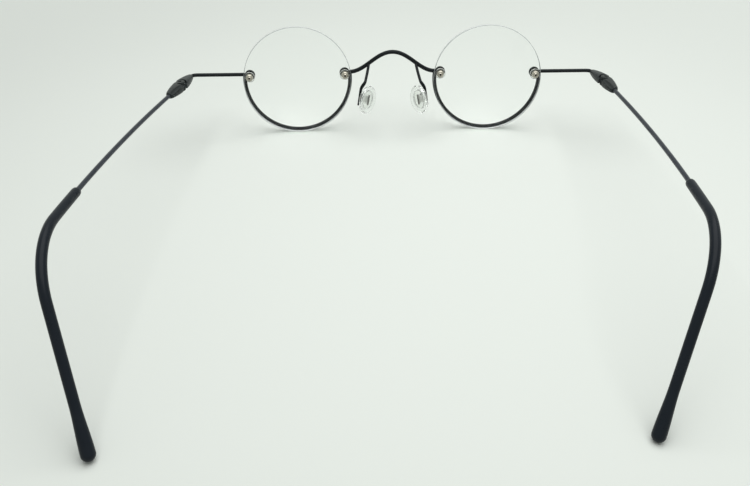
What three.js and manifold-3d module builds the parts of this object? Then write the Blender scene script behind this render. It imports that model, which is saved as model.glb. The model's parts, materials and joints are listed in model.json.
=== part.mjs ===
// Round half-rim reading glasses with bolted lenses, wire temples and sleeved tips.
// Millimetres and degrees. Pieces are drawn with the lenses upright, the front facing -Y and the
// wearer's left at +X, then the whole frame is tipped onto its rims and temple tips, on z = 0.
import * as THREE from 'three';
import { mergeVertices } from 'three/addons/utils/BufferGeometryUtils.js';
import Module from 'manifold-3d';

const wasm = await Module();
wasm.setup();

// Lenses
const LENS_DIAMETER = 36;
const LENS_SPACING = 64;
const LENS_EDGE = 1.6;
const LENS_FRONT_RADIUS = 160;
const LENS_BACK_RADIUS = 320;
const FACE_FORM = 3;

// Half rims, lying on the front of the lens edge
const RIM_WIRE = 1.1;
const RIM_INSET = 0.2;

// Bolted mounts: eyelet, lens, bushing and nut on one screw
const MOUNT_INSET = 2;
const MOUNT_RISE = 2;
const SCREW_DIAMETER = 1.2;
const SCREW_HEAD_DIAMETER = 2.3;
const SCREW_HEAD_HEIGHT = 0.6;
const SCREW_OVERHANG = 0.2;
const EYELET_DIAMETER = 3.4;
const EYELET_THICKNESS = 0.9;
const BUSHING_WALL = 0.3;
const BUSHING_FLANGE_DIAMETER = 3.4;
const BUSHING_FLANGE = 0.45;
const NUT_DIAMETER = 2.4;
const NUT_HEIGHT = 1.2;
const NUT_ROUNDING = 0.4;

// Bridge: a saddle arch between the nasal mounts
const BRIDGE_WIRE = 1.35;
const BRIDGE_RISE = 6.6;
const BRIDGE_LEAD = 1.7;
const BRIDGE_SHOULDER = 5.3;
const BRIDGE_CROWN = 5.6;

// Endpieces: straight wires out to the corner in front of each hinge
const ENDPIECE_WIRE = 1.2;
const CORNER_X = 67.2;
const CORNER_RADIUS = 2;

// Almond hinges: a tongue on the front half, a fork on the temple half
const HINGE_SPLAY = 9;
const HINGE_FRONT_LENGTH = 9.6;
const HINGE_TEMPLE_LENGTH = 9.8;
const HINGE_WIDTH = 4.1;
const HINGE_HEIGHT = 3.2;
const HINGE_FRONT_END = { width: 1.7, height: 1.7 };
const HINGE_TEMPLE_END = { width: 2.3, height: 1.9 };
const HINGE_ROUNDING = 3;
const KNUCKLE_DIAMETER = 3.2;
const TONGUE_HEIGHT = 1.1;
const NECK_WIDTH = 2;
const HINGE_SCREW_DIAMETER = 1;
const HINGE_SCREW_HEAD_DIAMETER = 2;
const HINGE_SCREW_HEAD_HEIGHT = 0.4;
const HINGE_SCREW_RECESS = 0.35;
const SOCKET_DEPTH = 2.5;

// Temples: a bowed run from the hinge pin, a bend down behind the ear, a straight drop
const TEMPLE_WIRE = 1.2;
const TEMPLE_RUN = 89;
const TEMPLE_BOW = 7;
const BEND_RADIUS = 20.5;
const BEND_ANGLE = 61;
const BEND_LEAN = 17.5;
const TIP_DROP = 33;
const TURNED_IN = { left: 0, right: 8.7 };

// Tips: soft sleeves over the temple wire, swelling to a bulb
const TIP_COVER = 68;
const TIP_MOUTH_DIAMETER = 1.7;
const TIP_DIAMETER = 2.3;
const TIP_BULB_DIAMETER = 3.1;
const TIP_BULB_LENGTH = 16;
const TIP_MOUTH_LENGTH = 1.2;
const TIP_SOLID_END = 6;

// Nose pads on a rocking stud, held in a box on the blade of the pad arm
const PAD_WIDTH = 6.8;
const PAD_HEIGHT = 9.4;
const PAD_THICKNESS = 2.2;
const PAD_X = 8.5;
const PAD_SETBACK = 7;
const PAD_DROP = 4.9;
const PAD_TURN = 41;
const PAD_FLARE = 14;
const CORE_WIDTH = 3.6;
const CORE_HEIGHT = 6;
const CORE_THICKNESS = 0.6;
const STUD_THICKNESS = 0.6;
const STUD_HEIGHT = 2.4;
const STUD_REACH = 1.5;
const STUD_EYE_DIAMETER = 1.5;
const PAD_SCREW_DIAMETER = 0.7;
const PAD_SCREW_HEAD_DIAMETER = 1.1;
const PAD_SCREW_HEAD_HEIGHT = 0.3;
const BOX_WALL = 0.4;
const BOX_HEIGHT = 2.6;
const BOX_DEPTH = 1.6;
const PAD_ARM_WIRE = 0.95;
const PAD_ARM_X = 8.6;
const PAD_ARM_SWEEP = { x: 0.3, y: 5.2, z: -4 };
const BLADE_THICKNESS = 0.45;
const BLADE_WIDTH = 1.1;
const BLADE_ABOVE = 2.4;
const BLADE_BELOW = 2.9;

// Clearances: between brazed or clamped faces, between faces that turn, and at the inner notch of the hinge
const FIT = 0.06;
const RUNNING = 0.12;
const MITRE = 0.35;
const INNER_RELIEF = 0.6;

// Facets
const LENS_SEGMENTS = 48;
const ROUND_SEGMENTS = 16;
const KNUCKLE_SEGMENTS = 20;
const ALMOND_POINTS = 16;
const WIRE_SIDES = 8;
const TIP_SIDES = 10;
const ARC_POINTS = 5;
const RIM_STEPS = 31;

const deg = THREE.MathUtils.degToRad;
const vec = (x, y, z) => new THREE.Vector3(x, y, z);
const SIDES = [['left', 1], ['right', -1]];

// Geometry helpers

// Keeps only shared positions, drops the slivers at lathe poles and turns the faces outwards.
function tidy(geometry) {
  const bare = new THREE.BufferGeometry();
  bare.setAttribute('position', geometry.getAttribute('position').clone());
  bare.setIndex(geometry.index ? geometry.index.clone() : null);
  const merged = mergeVertices(bare, 1e-4);
  const index = merged.index.array;
  const kept = [];
  for (let i = 0; i < index.length; i += 3) {
    const [a, b, c] = [index[i], index[i + 1], index[i + 2]];
    if (a !== b && b !== c && c !== a) kept.push(a, b, c);
  }
  merged.setIndex(kept);
  return volume(merged) < 0 ? flipped(merged) : merged;
}

function volume(geometry) {
  const position = geometry.getAttribute('position');
  const index = geometry.index.array;
  const corner = [vec(), vec(), vec()];
  let sum = 0;
  for (let i = 0; i < index.length; i += 3) {
    corner.forEach((point, k) => point.fromBufferAttribute(position, index[i + k]));
    sum += corner[0].dot(corner[1].cross(corner[2])) / 6;
  }
  return sum;
}

function flipped(geometry) {
  const index = Array.from(geometry.index.array);
  for (let i = 0; i < index.length; i += 3) {
    [index[i + 1], index[i + 2]] = [index[i + 2], index[i + 1]];
  }
  geometry.setIndex(index);
  return geometry;
}

const mirrored = (geometry) => flipped(geometry.clone().scale(-1, 1, 1));
const sided = (geometry, side) => (side > 0 ? geometry : mirrored(geometry));

function toSolid(geometry) {
  const mesh = tidy(geometry);
  return new wasm.Manifold(new wasm.Mesh({
    numProp: 3,
    vertProperties: new Float32Array(mesh.getAttribute('position').array),
    triVerts: new Uint32Array(mesh.index.array),
  }));
}

function fromSolid(solid) {
  const mesh = solid.getMesh();
  const geometry = new THREE.BufferGeometry();
  geometry.setAttribute('position', new THREE.Float32BufferAttribute(mesh.vertProperties, 3));
  geometry.setIndex(Array.from(mesh.triVerts));
  return geometry;
}

function carve(geometry, ...cutters) {
  const rest = cutters.reduce((solid, cutter) => solid.subtract(toSolid(cutter)), toSolid(geometry));
  return fromSolid(rest);
}

function join(...pieces) {
  return fromSolid(pieces.map(toSolid).reduce((all, piece) => all.add(piece)));
}

const common = (first, second) => fromSolid(toSolid(first).intersect(toSolid(second)));

// A solid of revolution about Y from [radius, y] pairs.
function turned(profile, segments = ROUND_SEGMENTS) {
  const points = profile.map(([radius, y]) => new THREE.Vector2(radius, y));
  return tidy(new THREE.LatheGeometry(points, segments));
}

// A ring or tube about Y: the profile closes on itself.
function bored(inner, outer, from, to, segments = ROUND_SEGMENTS) {
  return turned([[inner, from], [outer, from], [outer, to], [inner, to], [inner, from]], segments);
}

// A cylinder about Y, or about Z when upright, between two stations.
function rod(diameter, from, to, segments = ROUND_SEGMENTS) {
  return turned([[0, from], [diameter / 2, from], [diameter / 2, to], [0, to]], segments);
}

const upright = (geometry) => geometry.rotateX(Math.PI / 2);

function block(x0, x1, y0, y1, z0, z1) {
  const box = new THREE.BoxGeometry(x1 - x0, y1 - y0, z1 - z0);
  return box.translate((x0 + x1) / 2, (y0 + y1) / 2, (z0 + z1) / 2);
}

// Joins rings of equal counts into one closed skin.
function loft(rings) {
  const count = rings[0].length;
  const positions = rings.flat().flatMap((point) => point.toArray());
  const index = [];
  for (let r = 0; r + 1 < rings.length; r += 1) {
    for (let k = 0; k < count; k += 1) {
      const a = r * count + k;
      const b = r * count + ((k + 1) % count);
      index.push(a, b, b + count, a, b + count, a + count);
    }
  }
  const last = (rings.length - 1) * count;
  for (let k = 1; k + 1 < count; k += 1) {
    index.push(0, k + 1, k, last, last + k, last + k + 1);
  }
  const geometry = new THREE.BufferGeometry();
  geometry.setAttribute('position', new THREE.Float32BufferAttribute(positions, 3));
  geometry.setIndex(index);
  return tidy(geometry);
}

// A wire through points: the section's first half-width lies along the reference direction.
function wire(points, reference, sizes, sides = WIRE_SIDES) {
  const rings = points.map((point, i) => {
    const before = points[Math.max(i - 1, 0)];
    const after = points[Math.min(i + 1, points.length - 1)];
    const along = after.clone().sub(before).normalize();
    const across = reference.clone().addScaledVector(along, -reference.dot(along)).normalize();
    const over = along.clone().cross(across);
    const size = typeof sizes === 'function' ? sizes(i) : [sizes / 2, sizes / 2];
    return Array.from({ length: sides }, (_, k) => {
      const turn = (2 * Math.PI * (k + 0.5)) / sides;
      return point.clone()
        .addScaledVector(across, size[0] * Math.cos(turn))
        .addScaledVector(over, size[1] * Math.sin(turn));
    });
  });
  return loft(rings);
}

const plate = (shape, depth) => {
  const solid = new THREE.ExtrudeGeometry(shape, { depth, bevelEnabled: false, curveSegments: 6 });
  return tidy(solid.translate(0, 0, -depth / 2));
};

// Materials
const finish = (color, roughness, metalness, opacity = 1) => () => new THREE.MeshStandardMaterial({
  color, roughness, metalness, opacity, transparent: opacity < 1,
});
const darkMetal = finish(0x1b2026, 0.35, 0.9);
const hingeMetal = finish(0x343a3a, 0.5, 0.85);
const nickel = finish(0xb9b6a8, 0.25, 1);
const lensPlastic = finish(0xeef3f0, 0.05, 0, 0.25);
const clearPlastic = finish(0xf0f2ee, 0.15, 0, 0.4);
const silicone = finish(0xf2f4f1, 0.3, 0, 0.4);
const sleevePlastic = finish(0x15191b, 0.4, 0);

function piece(group, name, geometry, material) {
  const mesh = new THREE.Mesh(geometry, material());
  mesh.name = name;
  group.add(mesh);
  return mesh;
}

function placed(group, x, y, z, turn = 0) {
  const holder = new THREE.Group();
  holder.position.set(x, y, z);
  holder.rotation.z = turn;
  group.add(holder);
  return holder;
}

// Lens surfaces and the mount stack, in the frame of one lens
const lensRadius = LENS_DIAMETER / 2;
const mountRadius = lensRadius - MOUNT_INSET;
const mountX = Math.sqrt(mountRadius ** 2 - MOUNT_RISE ** 2);
const sag = (curve, r) => curve - Math.sqrt(curve ** 2 - r ** 2);
const lensFront = (r) => sag(LENS_FRONT_RADIUS, r) - sag(LENS_FRONT_RADIUS, lensRadius);
const lensBack = (r) => LENS_EDGE + sag(LENS_BACK_RADIUS, r) - sag(LENS_BACK_RADIUS, lensRadius);

const screwBore = SCREW_DIAMETER + 2 * FIT;
const sleeveDiameter = screwBore + 2 * BUSHING_WALL;
const lensHole = sleeveDiameter + 2 * FIT;
const eyeletBack = lensFront(mountRadius - EYELET_DIAMETER / 2) - FIT;
const eyeletFront = eyeletBack - EYELET_THICKNESS;
const flangeFront = lensBack(Math.min(mountRadius + BUSHING_FLANGE_DIAMETER / 2, lensRadius)) + FIT;
const nutFront = flangeFront + BUSHING_FLANGE + FIT;
const nutBack = nutFront + NUT_HEIGHT;

function lensGeometry() {
  const steps = Array.from({ length: ARC_POINTS }, (_, i) => (i * lensRadius) / (ARC_POINTS - 1));
  const front = steps.map((r) => [r, lensFront(r)]);
  const back = steps.reverse().map((r) => [r, lensBack(r)]);
  const blank = turned([...front, ...back], LENS_SEGMENTS);
  const holes = [-mountX, mountX].map((x) => (
    rod(lensHole, -LENS_DIAMETER, LENS_DIAMETER).translate(x, 0, MOUNT_RISE)
  ));
  return carve(blank, ...holes);
}

// The half rim's centre line, its ends just under the wires that meet the mounts
const rimRadius = lensRadius - RIM_INSET;
const rimY = lensFront(rimRadius - RIM_WIRE / 2) - RIM_WIRE / 2 - FIT;
const rimEnd = Math.asin((MOUNT_RISE - Math.max(BRIDGE_WIRE, ENDPIECE_WIRE) / 2 - 2 * FIT)
  / (rimRadius + RIM_WIRE / 2));
const eyeletCutter = (x) => (
  rod(EYELET_DIAMETER + 2 * FIT, -LENS_DIAMETER, LENS_DIAMETER).translate(x, 0, MOUNT_RISE)
);

function rimGeometry() {
  const points = Array.from({ length: RIM_STEPS + 1 }, (_, i) => {
    const angle = rimEnd - ((Math.PI + 2 * rimEnd) * i) / RIM_STEPS;
    return vec(rimRadius * Math.cos(angle), rimY, rimRadius * Math.sin(angle));
  });
  return carve(wire(points, vec(0, 1, 0), RIM_WIRE), eyeletCutter(mountX), eyeletCutter(-mountX));
}

function lensScrewGeometry() {
  const headBack = eyeletFront - FIT;
  const shank = SCREW_DIAMETER / 2;
  const head = SCREW_HEAD_DIAMETER / 2;
  return turned([
    [0, headBack - SCREW_HEAD_HEIGHT], [head * 0.7, headBack - SCREW_HEAD_HEIGHT * 0.85],
    [head, headBack - SCREW_HEAD_HEIGHT * 0.4], [head, headBack], [shank, headBack],
    [shank, nutBack + SCREW_OVERHANG], [0, nutBack + SCREW_OVERHANG],
  ]);
}

function bushingGeometry() {
  const bore = screwBore / 2;
  const sleeve = sleeveDiameter / 2;
  const flange = BUSHING_FLANGE_DIAMETER / 2;
  const flangeBack = flangeFront + BUSHING_FLANGE;
  return turned([
    [bore, eyeletBack + FIT], [sleeve, eyeletBack + FIT], [sleeve, flangeFront],
    [flange, flangeFront], [flange, flangeBack], [bore, flangeBack], [bore, eyeletBack + FIT],
  ]);
}

function nutGeometry() {
  const bore = screwBore / 2;
  const nut = NUT_DIAMETER / 2;
  return turned([
    [bore, nutFront], [nut, nutFront], [nut, nutBack - NUT_ROUNDING],
    [nut - NUT_ROUNDING * 0.3, nutBack - NUT_ROUNDING * 0.3],
    [nut - NUT_ROUNDING, nutBack], [bore, nutBack], [bore, nutFront],
  ]);
}

// Places of the wires that reach the mounts, in the frame of the whole front
const wireY = (size) => eyeletBack - size / 2;
function mountPoint(x, y) {
  return vec(x, y, MOUNT_RISE).applyAxisAngle(vec(0, 0, 1), deg(FACE_FORM))
    .add(vec(LENS_SPACING / 2, 0, 0));
}
const frontCutter = (x) => eyeletCutter(x).rotateZ(deg(FACE_FORM)).translate(LENS_SPACING / 2, 0, 0);

// Bridge: a straight lead out of each eyelet, then an S up to the crown
const bridgeEnd = mountPoint(-mountX, wireY(BRIDGE_WIRE));
const crestZ = MOUNT_RISE + BRIDGE_RISE;

function bridgeCurves() {
  const { x, y, z } = bridgeEnd;
  const foot = vec(x - BRIDGE_LEAD, y, z);
  return [
    new THREE.LineCurve3(bridgeEnd, foot),
    new THREE.CubicBezierCurve3(
      foot, vec(foot.x - BRIDGE_SHOULDER, y, z), vec(BRIDGE_CROWN, y, crestZ), vec(0, y, crestZ)),
  ];
}

function bridgePoints() {
  const [lead, arch] = bridgeCurves();
  const half = [...lead.getPoints(1), ...arch.getPoints(14).slice(1)];
  const other = half.slice(0, -1).reverse().map((point) => vec(-point.x, point.y, point.z));
  return [...half, ...other];
}

const bridgeTube = (size) => wire(bridgePoints(), vec(0, 1, 0), size, WIRE_SIDES + 2);

function bridgeGeometry() {
  return carve(bridgeTube(BRIDGE_WIRE), frontCutter(-mountX), mirrored(tidy(frontCutter(-mountX))));
}

// Endpiece: out along X, round the corner and into the socket of the hinge's front half
const endpieceStart = mountPoint(mountX, wireY(ENDPIECE_WIRE));
const hingeAxis = vec(Math.sin(deg(HINGE_SPLAY)), Math.cos(deg(HINGE_SPLAY)), 0);
const corner = vec(CORNER_X, endpieceStart.y, MOUNT_RISE);
const cornerTangent = CORNER_RADIUS * Math.tan(deg(90 - HINGE_SPLAY) / 2);
const hingePin = corner.clone().addScaledVector(hingeAxis, cornerTangent + HINGE_FRONT_LENGTH);

function endpieceGeometry() {
  const bendStart = vec(corner.x - cornerTangent, corner.y, corner.z);
  const bendEnd = corner.clone().addScaledVector(hingeAxis, cornerTangent);
  const socketEnd = bendEnd.clone().addScaledVector(hingeAxis, SOCKET_DEPTH - FIT);
  const bend = new THREE.QuadraticBezierCurve3(bendStart, corner, bendEnd);
  const points = [endpieceStart, ...bend.getPoints(7), socketEnd];
  return carve(wire(points, vec(0, 0, 1), ENDPIECE_WIRE), frontCutter(mountX));
}

// Hinge halves, about the pin at the origin: the front half lies towards -Y, the temple towards +Y
const halfHeight = HINGE_HEIGHT / 2;
const butt = RUNNING / 2;
const knuckle = KNUCKLE_DIAMETER / 2;
const forkInner = TONGUE_HEIGHT / 2 + RUNNING;
const mitreY = HINGE_WIDTH / 2 + MITRE;
const pinBore = HINGE_SCREW_DIAMETER + 2 * FIT;

// The whole almond: full at the pin and drawn in to the wire at both ends.
function almondGeometry() {
  const shares = [-1, -0.8, -0.6, -0.4, -0.2, 0, 0.2, 0.4, 0.6, 0.8, 1];
  const rings = shares.map((share) => {
    const [length, end] = share < 0
      ? [HINGE_FRONT_LENGTH, HINGE_FRONT_END] : [HINGE_TEMPLE_LENGTH, HINGE_TEMPLE_END];
    const x = THREE.MathUtils.lerp(HINGE_WIDTH, end.width, share ** 2) / 2;
    const z = THREE.MathUtils.lerp(HINGE_HEIGHT, end.height, share ** 2) / 2;
    return Array.from({ length: ALMOND_POINTS }, (_, k) => {
      const turn = (2 * Math.PI * k) / ALMOND_POINTS;
      return vec(x * rounded(Math.cos(turn)), share * length, z * rounded(Math.sin(turn)));
    });
  });
  return loft(rings);
}

// One coordinate of a rounded square section.
const rounded = (value) => Math.sign(value) * Math.abs(value) ** (2 / HINGE_ROUNDING);

const pinRod = (diameter, from, to) => upright(rod(diameter, from, to, KNUCKLE_SEGMENTS));
const slab = (x0, x1, y0, y1) => block(x0, x1, y0, y1, -HINGE_HEIGHT, HINGE_HEIGHT);

function hingeFrontGeometry() {
  const almond = almondGeometry();
  const body = carve(almond,
    slab(-HINGE_WIDTH, HINGE_WIDTH, -butt, 2 * HINGE_TEMPLE_LENGTH),
    slab(-HINGE_WIDTH, 0, -INNER_RELIEF, HINGE_WIDTH),
    pinRod(KNUCKLE_DIAMETER + 2 * RUNNING, -HINGE_HEIGHT, HINGE_HEIGHT));
  const lug = TONGUE_HEIGHT / 2;
  const tongue = join(
    pinRod(KNUCKLE_DIAMETER, -lug, lug),
    block(-NECK_WIDTH / 2, NECK_WIDTH / 2, -knuckle - 4 * RUNNING, 0, -lug, lug));
  const socket = rod(ENDPIECE_WIRE + 2 * FIT, -HINGE_FRONT_LENGTH - 1, SOCKET_DEPTH - HINGE_FRONT_LENGTH);
  return carve(join(body, tongue), pinRod(pinBore, -HINGE_HEIGHT, HINGE_HEIGHT), socket);
}

function hingeTempleGeometry() {
  const almond = almondGeometry();
  const body = carve(almond,
    slab(-HINGE_WIDTH, HINGE_WIDTH, -2 * HINGE_FRONT_LENGTH, butt),
    slab(-HINGE_WIDTH, 0, -HINGE_WIDTH, mitreY));
  const knuckles = common(almond, pinRod(KNUCKLE_DIAMETER, -HINGE_HEIGHT, HINGE_HEIGHT));
  const slot = pinRod(KNUCKLE_DIAMETER + 2 * RUNNING, -forkInner, forkInner);
  const headSeat = pinRod(HINGE_SCREW_HEAD_DIAMETER + 2 * FIT, -HINGE_HEIGHT,
    HINGE_SCREW_HEAD_HEIGHT + FIT - halfHeight);
  const socket = rod(TEMPLE_WIRE + 2 * FIT, HINGE_TEMPLE_LENGTH - SOCKET_DEPTH, HINGE_TEMPLE_LENGTH + 1);
  return carve(join(body, knuckles), slot, pinRod(pinBore, -HINGE_HEIGHT, HINGE_HEIGHT), headSeat, socket);
}

// The pin screw: its head below, its end sunk under the upper leaf of the fork.
function hingeScrewGeometry() {
  const seat = HINGE_SCREW_HEAD_HEIGHT - halfHeight;
  const end = halfHeight - HINGE_SCREW_RECESS;
  return upright(turned([
    [0, -halfHeight], [HINGE_SCREW_HEAD_DIAMETER / 2, -halfHeight],
    [HINGE_SCREW_HEAD_DIAMETER / 2, seat], [HINGE_SCREW_DIAMETER / 2, seat],
    [HINGE_SCREW_DIAMETER / 2, end], [0, end],
  ]));
}

// Temple centre line, measured from the hinge pin along the wire
const bowRadius = (TEMPLE_RUN - HINGE_TEMPLE_LENGTH) / deg(TEMPLE_BOW);
const bendLength = BEND_RADIUS * deg(BEND_ANGLE);
const templeLength = TEMPLE_RUN + bendLength + TIP_DROP;
const tipStart = templeLength - TIP_COVER;
const runHeading = vec(-Math.sin(deg(TEMPLE_BOW)), Math.cos(deg(TEMPLE_BOW)), 0);
const bendInward = runHeading.clone().cross(vec(0, 0, -1));
const bendDown = vec(0, 0, -Math.cos(deg(BEND_LEAN))).addScaledVector(bendInward, Math.sin(deg(BEND_LEAN)));

function bowPoint(s) {
  const turn = Math.max(s - HINGE_TEMPLE_LENGTH, 0) / bowRadius;
  const straight = Math.min(s, HINGE_TEMPLE_LENGTH);
  return vec(-bowRadius * (1 - Math.cos(turn)), straight + bowRadius * Math.sin(turn), 0);
}

function bendPoint(turn) {
  return bowPoint(TEMPLE_RUN)
    .addScaledVector(runHeading, BEND_RADIUS * Math.sin(turn))
    .addScaledVector(bendDown, BEND_RADIUS * (1 - Math.cos(turn)));
}

function templePoint(s) {
  if (s <= TEMPLE_RUN) return bowPoint(s);
  const turn = Math.min((s - TEMPLE_RUN) / BEND_RADIUS, deg(BEND_ANGLE));
  const drop = Math.max(s - TEMPLE_RUN - bendLength, 0);
  return bendPoint(turn)
    .addScaledVector(runHeading, drop * Math.cos(turn))
    .addScaledVector(bendDown, drop * Math.sin(turn));
}

// Stations along the wire: sparse on the run and the drop, close in the bend.
function stations(from, to) {
  const marks = [from];
  const spread = (start, end, count) => {
    for (let i = 1; i <= count; i += 1) {
      const s = start + ((end - start) * i) / count;
      if (s > marks.at(-1) + 0.1 && s < to - 0.1) marks.push(s);
    }
  };
  spread(from, tipStart, 9);
  spread(tipStart, TEMPLE_RUN, 2);
  spread(TEMPLE_RUN, TEMPLE_RUN + bendLength, 8);
  spread(TEMPLE_RUN + bendLength, templeLength, 5);
  return [...marks, to];
}

function templeWireGeometry(size, from, to) {
  return wire(stations(from, to).map(templePoint), vec(1, 0, 0), size);
}

const wireStart = HINGE_TEMPLE_LENGTH - SOCKET_DEPTH + FIT;
const wireEnd = templeLength - TIP_SOLID_END;

// The sleeve's radius: a rounded mouth, a plain run, then a swelling that ends in a half ball
function sleeveStations() {
  const mouth = [0, 0.25, 0.6, 1].map((share) => tipStart + share * TIP_MOUTH_LENGTH);
  const ballStart = templeLength - TIP_BULB_DIAMETER / 2;
  const body = stations(mouth.at(-1), ballStart).slice(1);
  const ball = [25, 50, 70, 83].map((turn) => ballStart + (TIP_BULB_DIAMETER / 2) * Math.sin(deg(turn)));
  return [...mouth, ...body, ...ball];
}

function sleeveRadius(s) {
  const mouth = THREE.MathUtils.clamp((s - tipStart) / TIP_MOUTH_LENGTH, 0, 1);
  const ballStart = templeLength - TIP_BULB_DIAMETER / 2;
  const swell = THREE.MathUtils.smoothstep(s, ballStart - TIP_BULB_LENGTH, ballStart);
  const bulb = TIP_BULB_DIAMETER / 2;
  if (s > ballStart) return Math.sqrt(Math.max(bulb ** 2 - (s - ballStart) ** 2, 0));
  const plain = TIP_MOUTH_DIAMETER
    + (TIP_DIAMETER - TIP_MOUTH_DIAMETER) * Math.sqrt(1 - (1 - mouth) ** 2);
  return (plain + (TIP_BULB_DIAMETER - TIP_DIAMETER) * swell) / 2;
}

function tipGeometry() {
  const marks = sleeveStations();
  const size = (i) => [sleeveRadius(marks[i]), sleeveRadius(marks[i])];
  const sleeve = wire(marks.map(templePoint), vec(1, 0, 0), size, TIP_SIDES);
  return carve(sleeve, templeWireGeometry(TEMPLE_WIRE + 2 * FIT, tipStart - 2, wireEnd + FIT));
}

// Nose pad, about its rocking screw: +Y faces the nose, Z runs up the pad, X across it
const padBackY = STUD_REACH;
const boxSlot = STUD_THICKNESS + 2 * RUNNING;
const boxWidth = boxSlot + 2 * BOX_WALL;
const boxWebY = -STUD_EYE_DIAMETER / 2 - RUNNING;
const boxBackY = boxWebY - BOX_WALL;
const bladeY = boxBackY - FIT - BLADE_THICKNESS / 2;

const oval = (geometry, width, height) => geometry.scale(width / 2, 1, height / 2);

function padGeometry() {
  const shell = oval(turned([
    [0, padBackY], [0.7, padBackY], [0.9, padBackY + PAD_THICKNESS * 0.12],
    [1, padBackY + PAD_THICKNESS * 0.4], [0.95, padBackY + PAD_THICKNESS * 0.68],
    [0.75, padBackY + PAD_THICKNESS * 0.88], [0.4, padBackY + PAD_THICKNESS * 0.97],
    [0, padBackY + PAD_THICKNESS],
  ], KNUCKLE_SEGMENTS), PAD_WIDTH, PAD_HEIGHT);
  const pocket = oval(rod(2, padBackY - 1, padBackY + CORE_THICKNESS + FIT, KNUCKLE_SEGMENTS),
    CORE_WIDTH + 2 * FIT, CORE_HEIGHT + 2 * FIT);
  return carve(shell, pocket);
}

function coreGeometry() {
  return oval(rod(2, padBackY, padBackY + CORE_THICKNESS, KNUCKLE_SEGMENTS), CORE_WIDTH, CORE_HEIGHT);
}

// The stud's plate stands on the core and narrows to an eye round the screw.
function studGeometry() {
  const eye = STUD_EYE_DIAMETER / 2;
  const shape = new THREE.Shape();
  shape.moveTo(padBackY - FIT, -STUD_HEIGHT / 2);
  shape.lineTo(padBackY - FIT, STUD_HEIGHT / 2);
  shape.lineTo(padBackY - 4 * FIT, STUD_HEIGHT / 2);
  shape.lineTo(0, eye);
  shape.absarc(0, 0, eye, Math.PI / 2, (3 * Math.PI) / 2, false);
  shape.closePath();
  const flat = plate(shape, STUD_THICKNESS).rotateX(Math.PI / 2).rotateZ(Math.PI / 2);
  return carve(flat, rod(PAD_SCREW_DIAMETER + 2 * FIT, -boxWidth, boxWidth).rotateZ(Math.PI / 2));
}

function padBoxGeometry() {
  const half = BOX_HEIGHT / 2;
  const shell = block(-boxWidth / 2, boxWidth / 2, boxBackY, boxBackY + BOX_DEPTH, -half, half);
  const slot = block(-boxSlot / 2, boxSlot / 2, boxWebY, boxBackY + 2 * BOX_DEPTH, -BOX_HEIGHT, BOX_HEIGHT);
  const bore = rod(PAD_SCREW_DIAMETER + 2 * FIT, -boxWidth, boxWidth).rotateZ(Math.PI / 2);
  return carve(shell, slot, bore);
}

function padScrewGeometry() {
  const shank = PAD_SCREW_DIAMETER / 2;
  const head = PAD_SCREW_HEAD_DIAMETER / 2;
  const seat = boxWidth / 2 + FIT;
  return turned([
    [0, -boxWidth / 2], [shank, -boxWidth / 2], [shank, seat], [head, seat],
    [head * 0.8, seat + PAD_SCREW_HEAD_HEIGHT], [0, seat + PAD_SCREW_HEAD_HEIGHT],
  ]).rotateZ(-Math.PI / 2);
}

// Where the left pad's screw stands in the front, and how the pad is turned there:
// the face looks inwards and back, and the pads stand closer together at the top
const padTurn = new THREE.Euler(0, -deg(PAD_FLARE), deg(PAD_TURN), 'ZYX');
const padOffset = vec(0, padBackY + PAD_THICKNESS / 2, 0).applyEuler(padTurn);
const padPivot = vec(PAD_X, PAD_SETBACK, -PAD_DROP).sub(padOffset);
const fromPad = (x, y, z) => vec(x, y, z).applyEuler(padTurn).add(padPivot);

// Pad arm: a wire brazed under the bridge that sweeps back and flattens into a blade
function padArmGeometry() {
  const samples = bridgeCurves()[1].getPoints(40);
  const root = samples.reduce((best, point) => (
    Math.abs(point.x - PAD_ARM_X) < Math.abs(best.x - PAD_ARM_X) ? point : best
  ));
  const knee = root.clone().add(vec(PAD_ARM_SWEEP.x, PAD_ARM_SWEEP.y, PAD_ARM_SWEEP.z));
  const bladeTop = fromPad(0, bladeY, BLADE_ABOVE);
  const bladeEnd = fromPad(0, bladeY, -BLADE_BELOW);
  const sweep = new THREE.CatmullRomCurve3([root, knee, bladeTop, bladeEnd], false, 'centripetal');
  const steps = 22;
  const points = sweep.getPoints(steps);
  const flat = (i) => THREE.MathUtils.smoothstep(bladeTop.distanceTo(points[i])
    * Math.sign(points[i].z - bladeTop.z), -0.2, BLADE_ABOVE);
  const size = (i) => [
    THREE.MathUtils.lerp(BLADE_WIDTH, PAD_ARM_WIRE, flat(i)) / 2,
    THREE.MathUtils.lerp(BLADE_THICKNESS, PAD_ARM_WIRE, flat(i)) / 2,
  ];
  const across = vec(1, 0, 0).applyEuler(padTurn);
  return carve(wire(points, across, size), bridgeTube(BRIDGE_WIRE + 2 * FIT));
}

// Assembly
const glasses = new THREE.Group();
const front = new THREE.Group();
glasses.add(front);

piece(front, 'bridge', bridgeGeometry(), darkMetal);

function addLens(name, side) {
  const seat = placed(front, (side * LENS_SPACING) / 2, 0, 0, side * deg(FACE_FORM));
  piece(seat, `lens_${name}`, lensGeometry(), lensPlastic);
  piece(seat, `rim_${name}`, sided(rimGeometry(), side), darkMetal);
  for (const [place, way] of [['nasal', -1], ['temporal', 1]]) {
    const stack = placed(seat, side * way * mountX, 0, MOUNT_RISE);
    const eyelet = bored(screwBore / 2, EYELET_DIAMETER / 2, eyeletFront, eyeletBack);
    piece(stack, `eyelet_${place}_${name}`, eyelet, darkMetal);
    piece(stack, `lens_screw_${place}_${name}`, lensScrewGeometry(), nickel);
    piece(stack, `lens_bushing_${place}_${name}`, bushingGeometry(), clearPlastic);
    piece(stack, `lens_nut_${place}_${name}`, nutGeometry(), nickel);
  }
}

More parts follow.
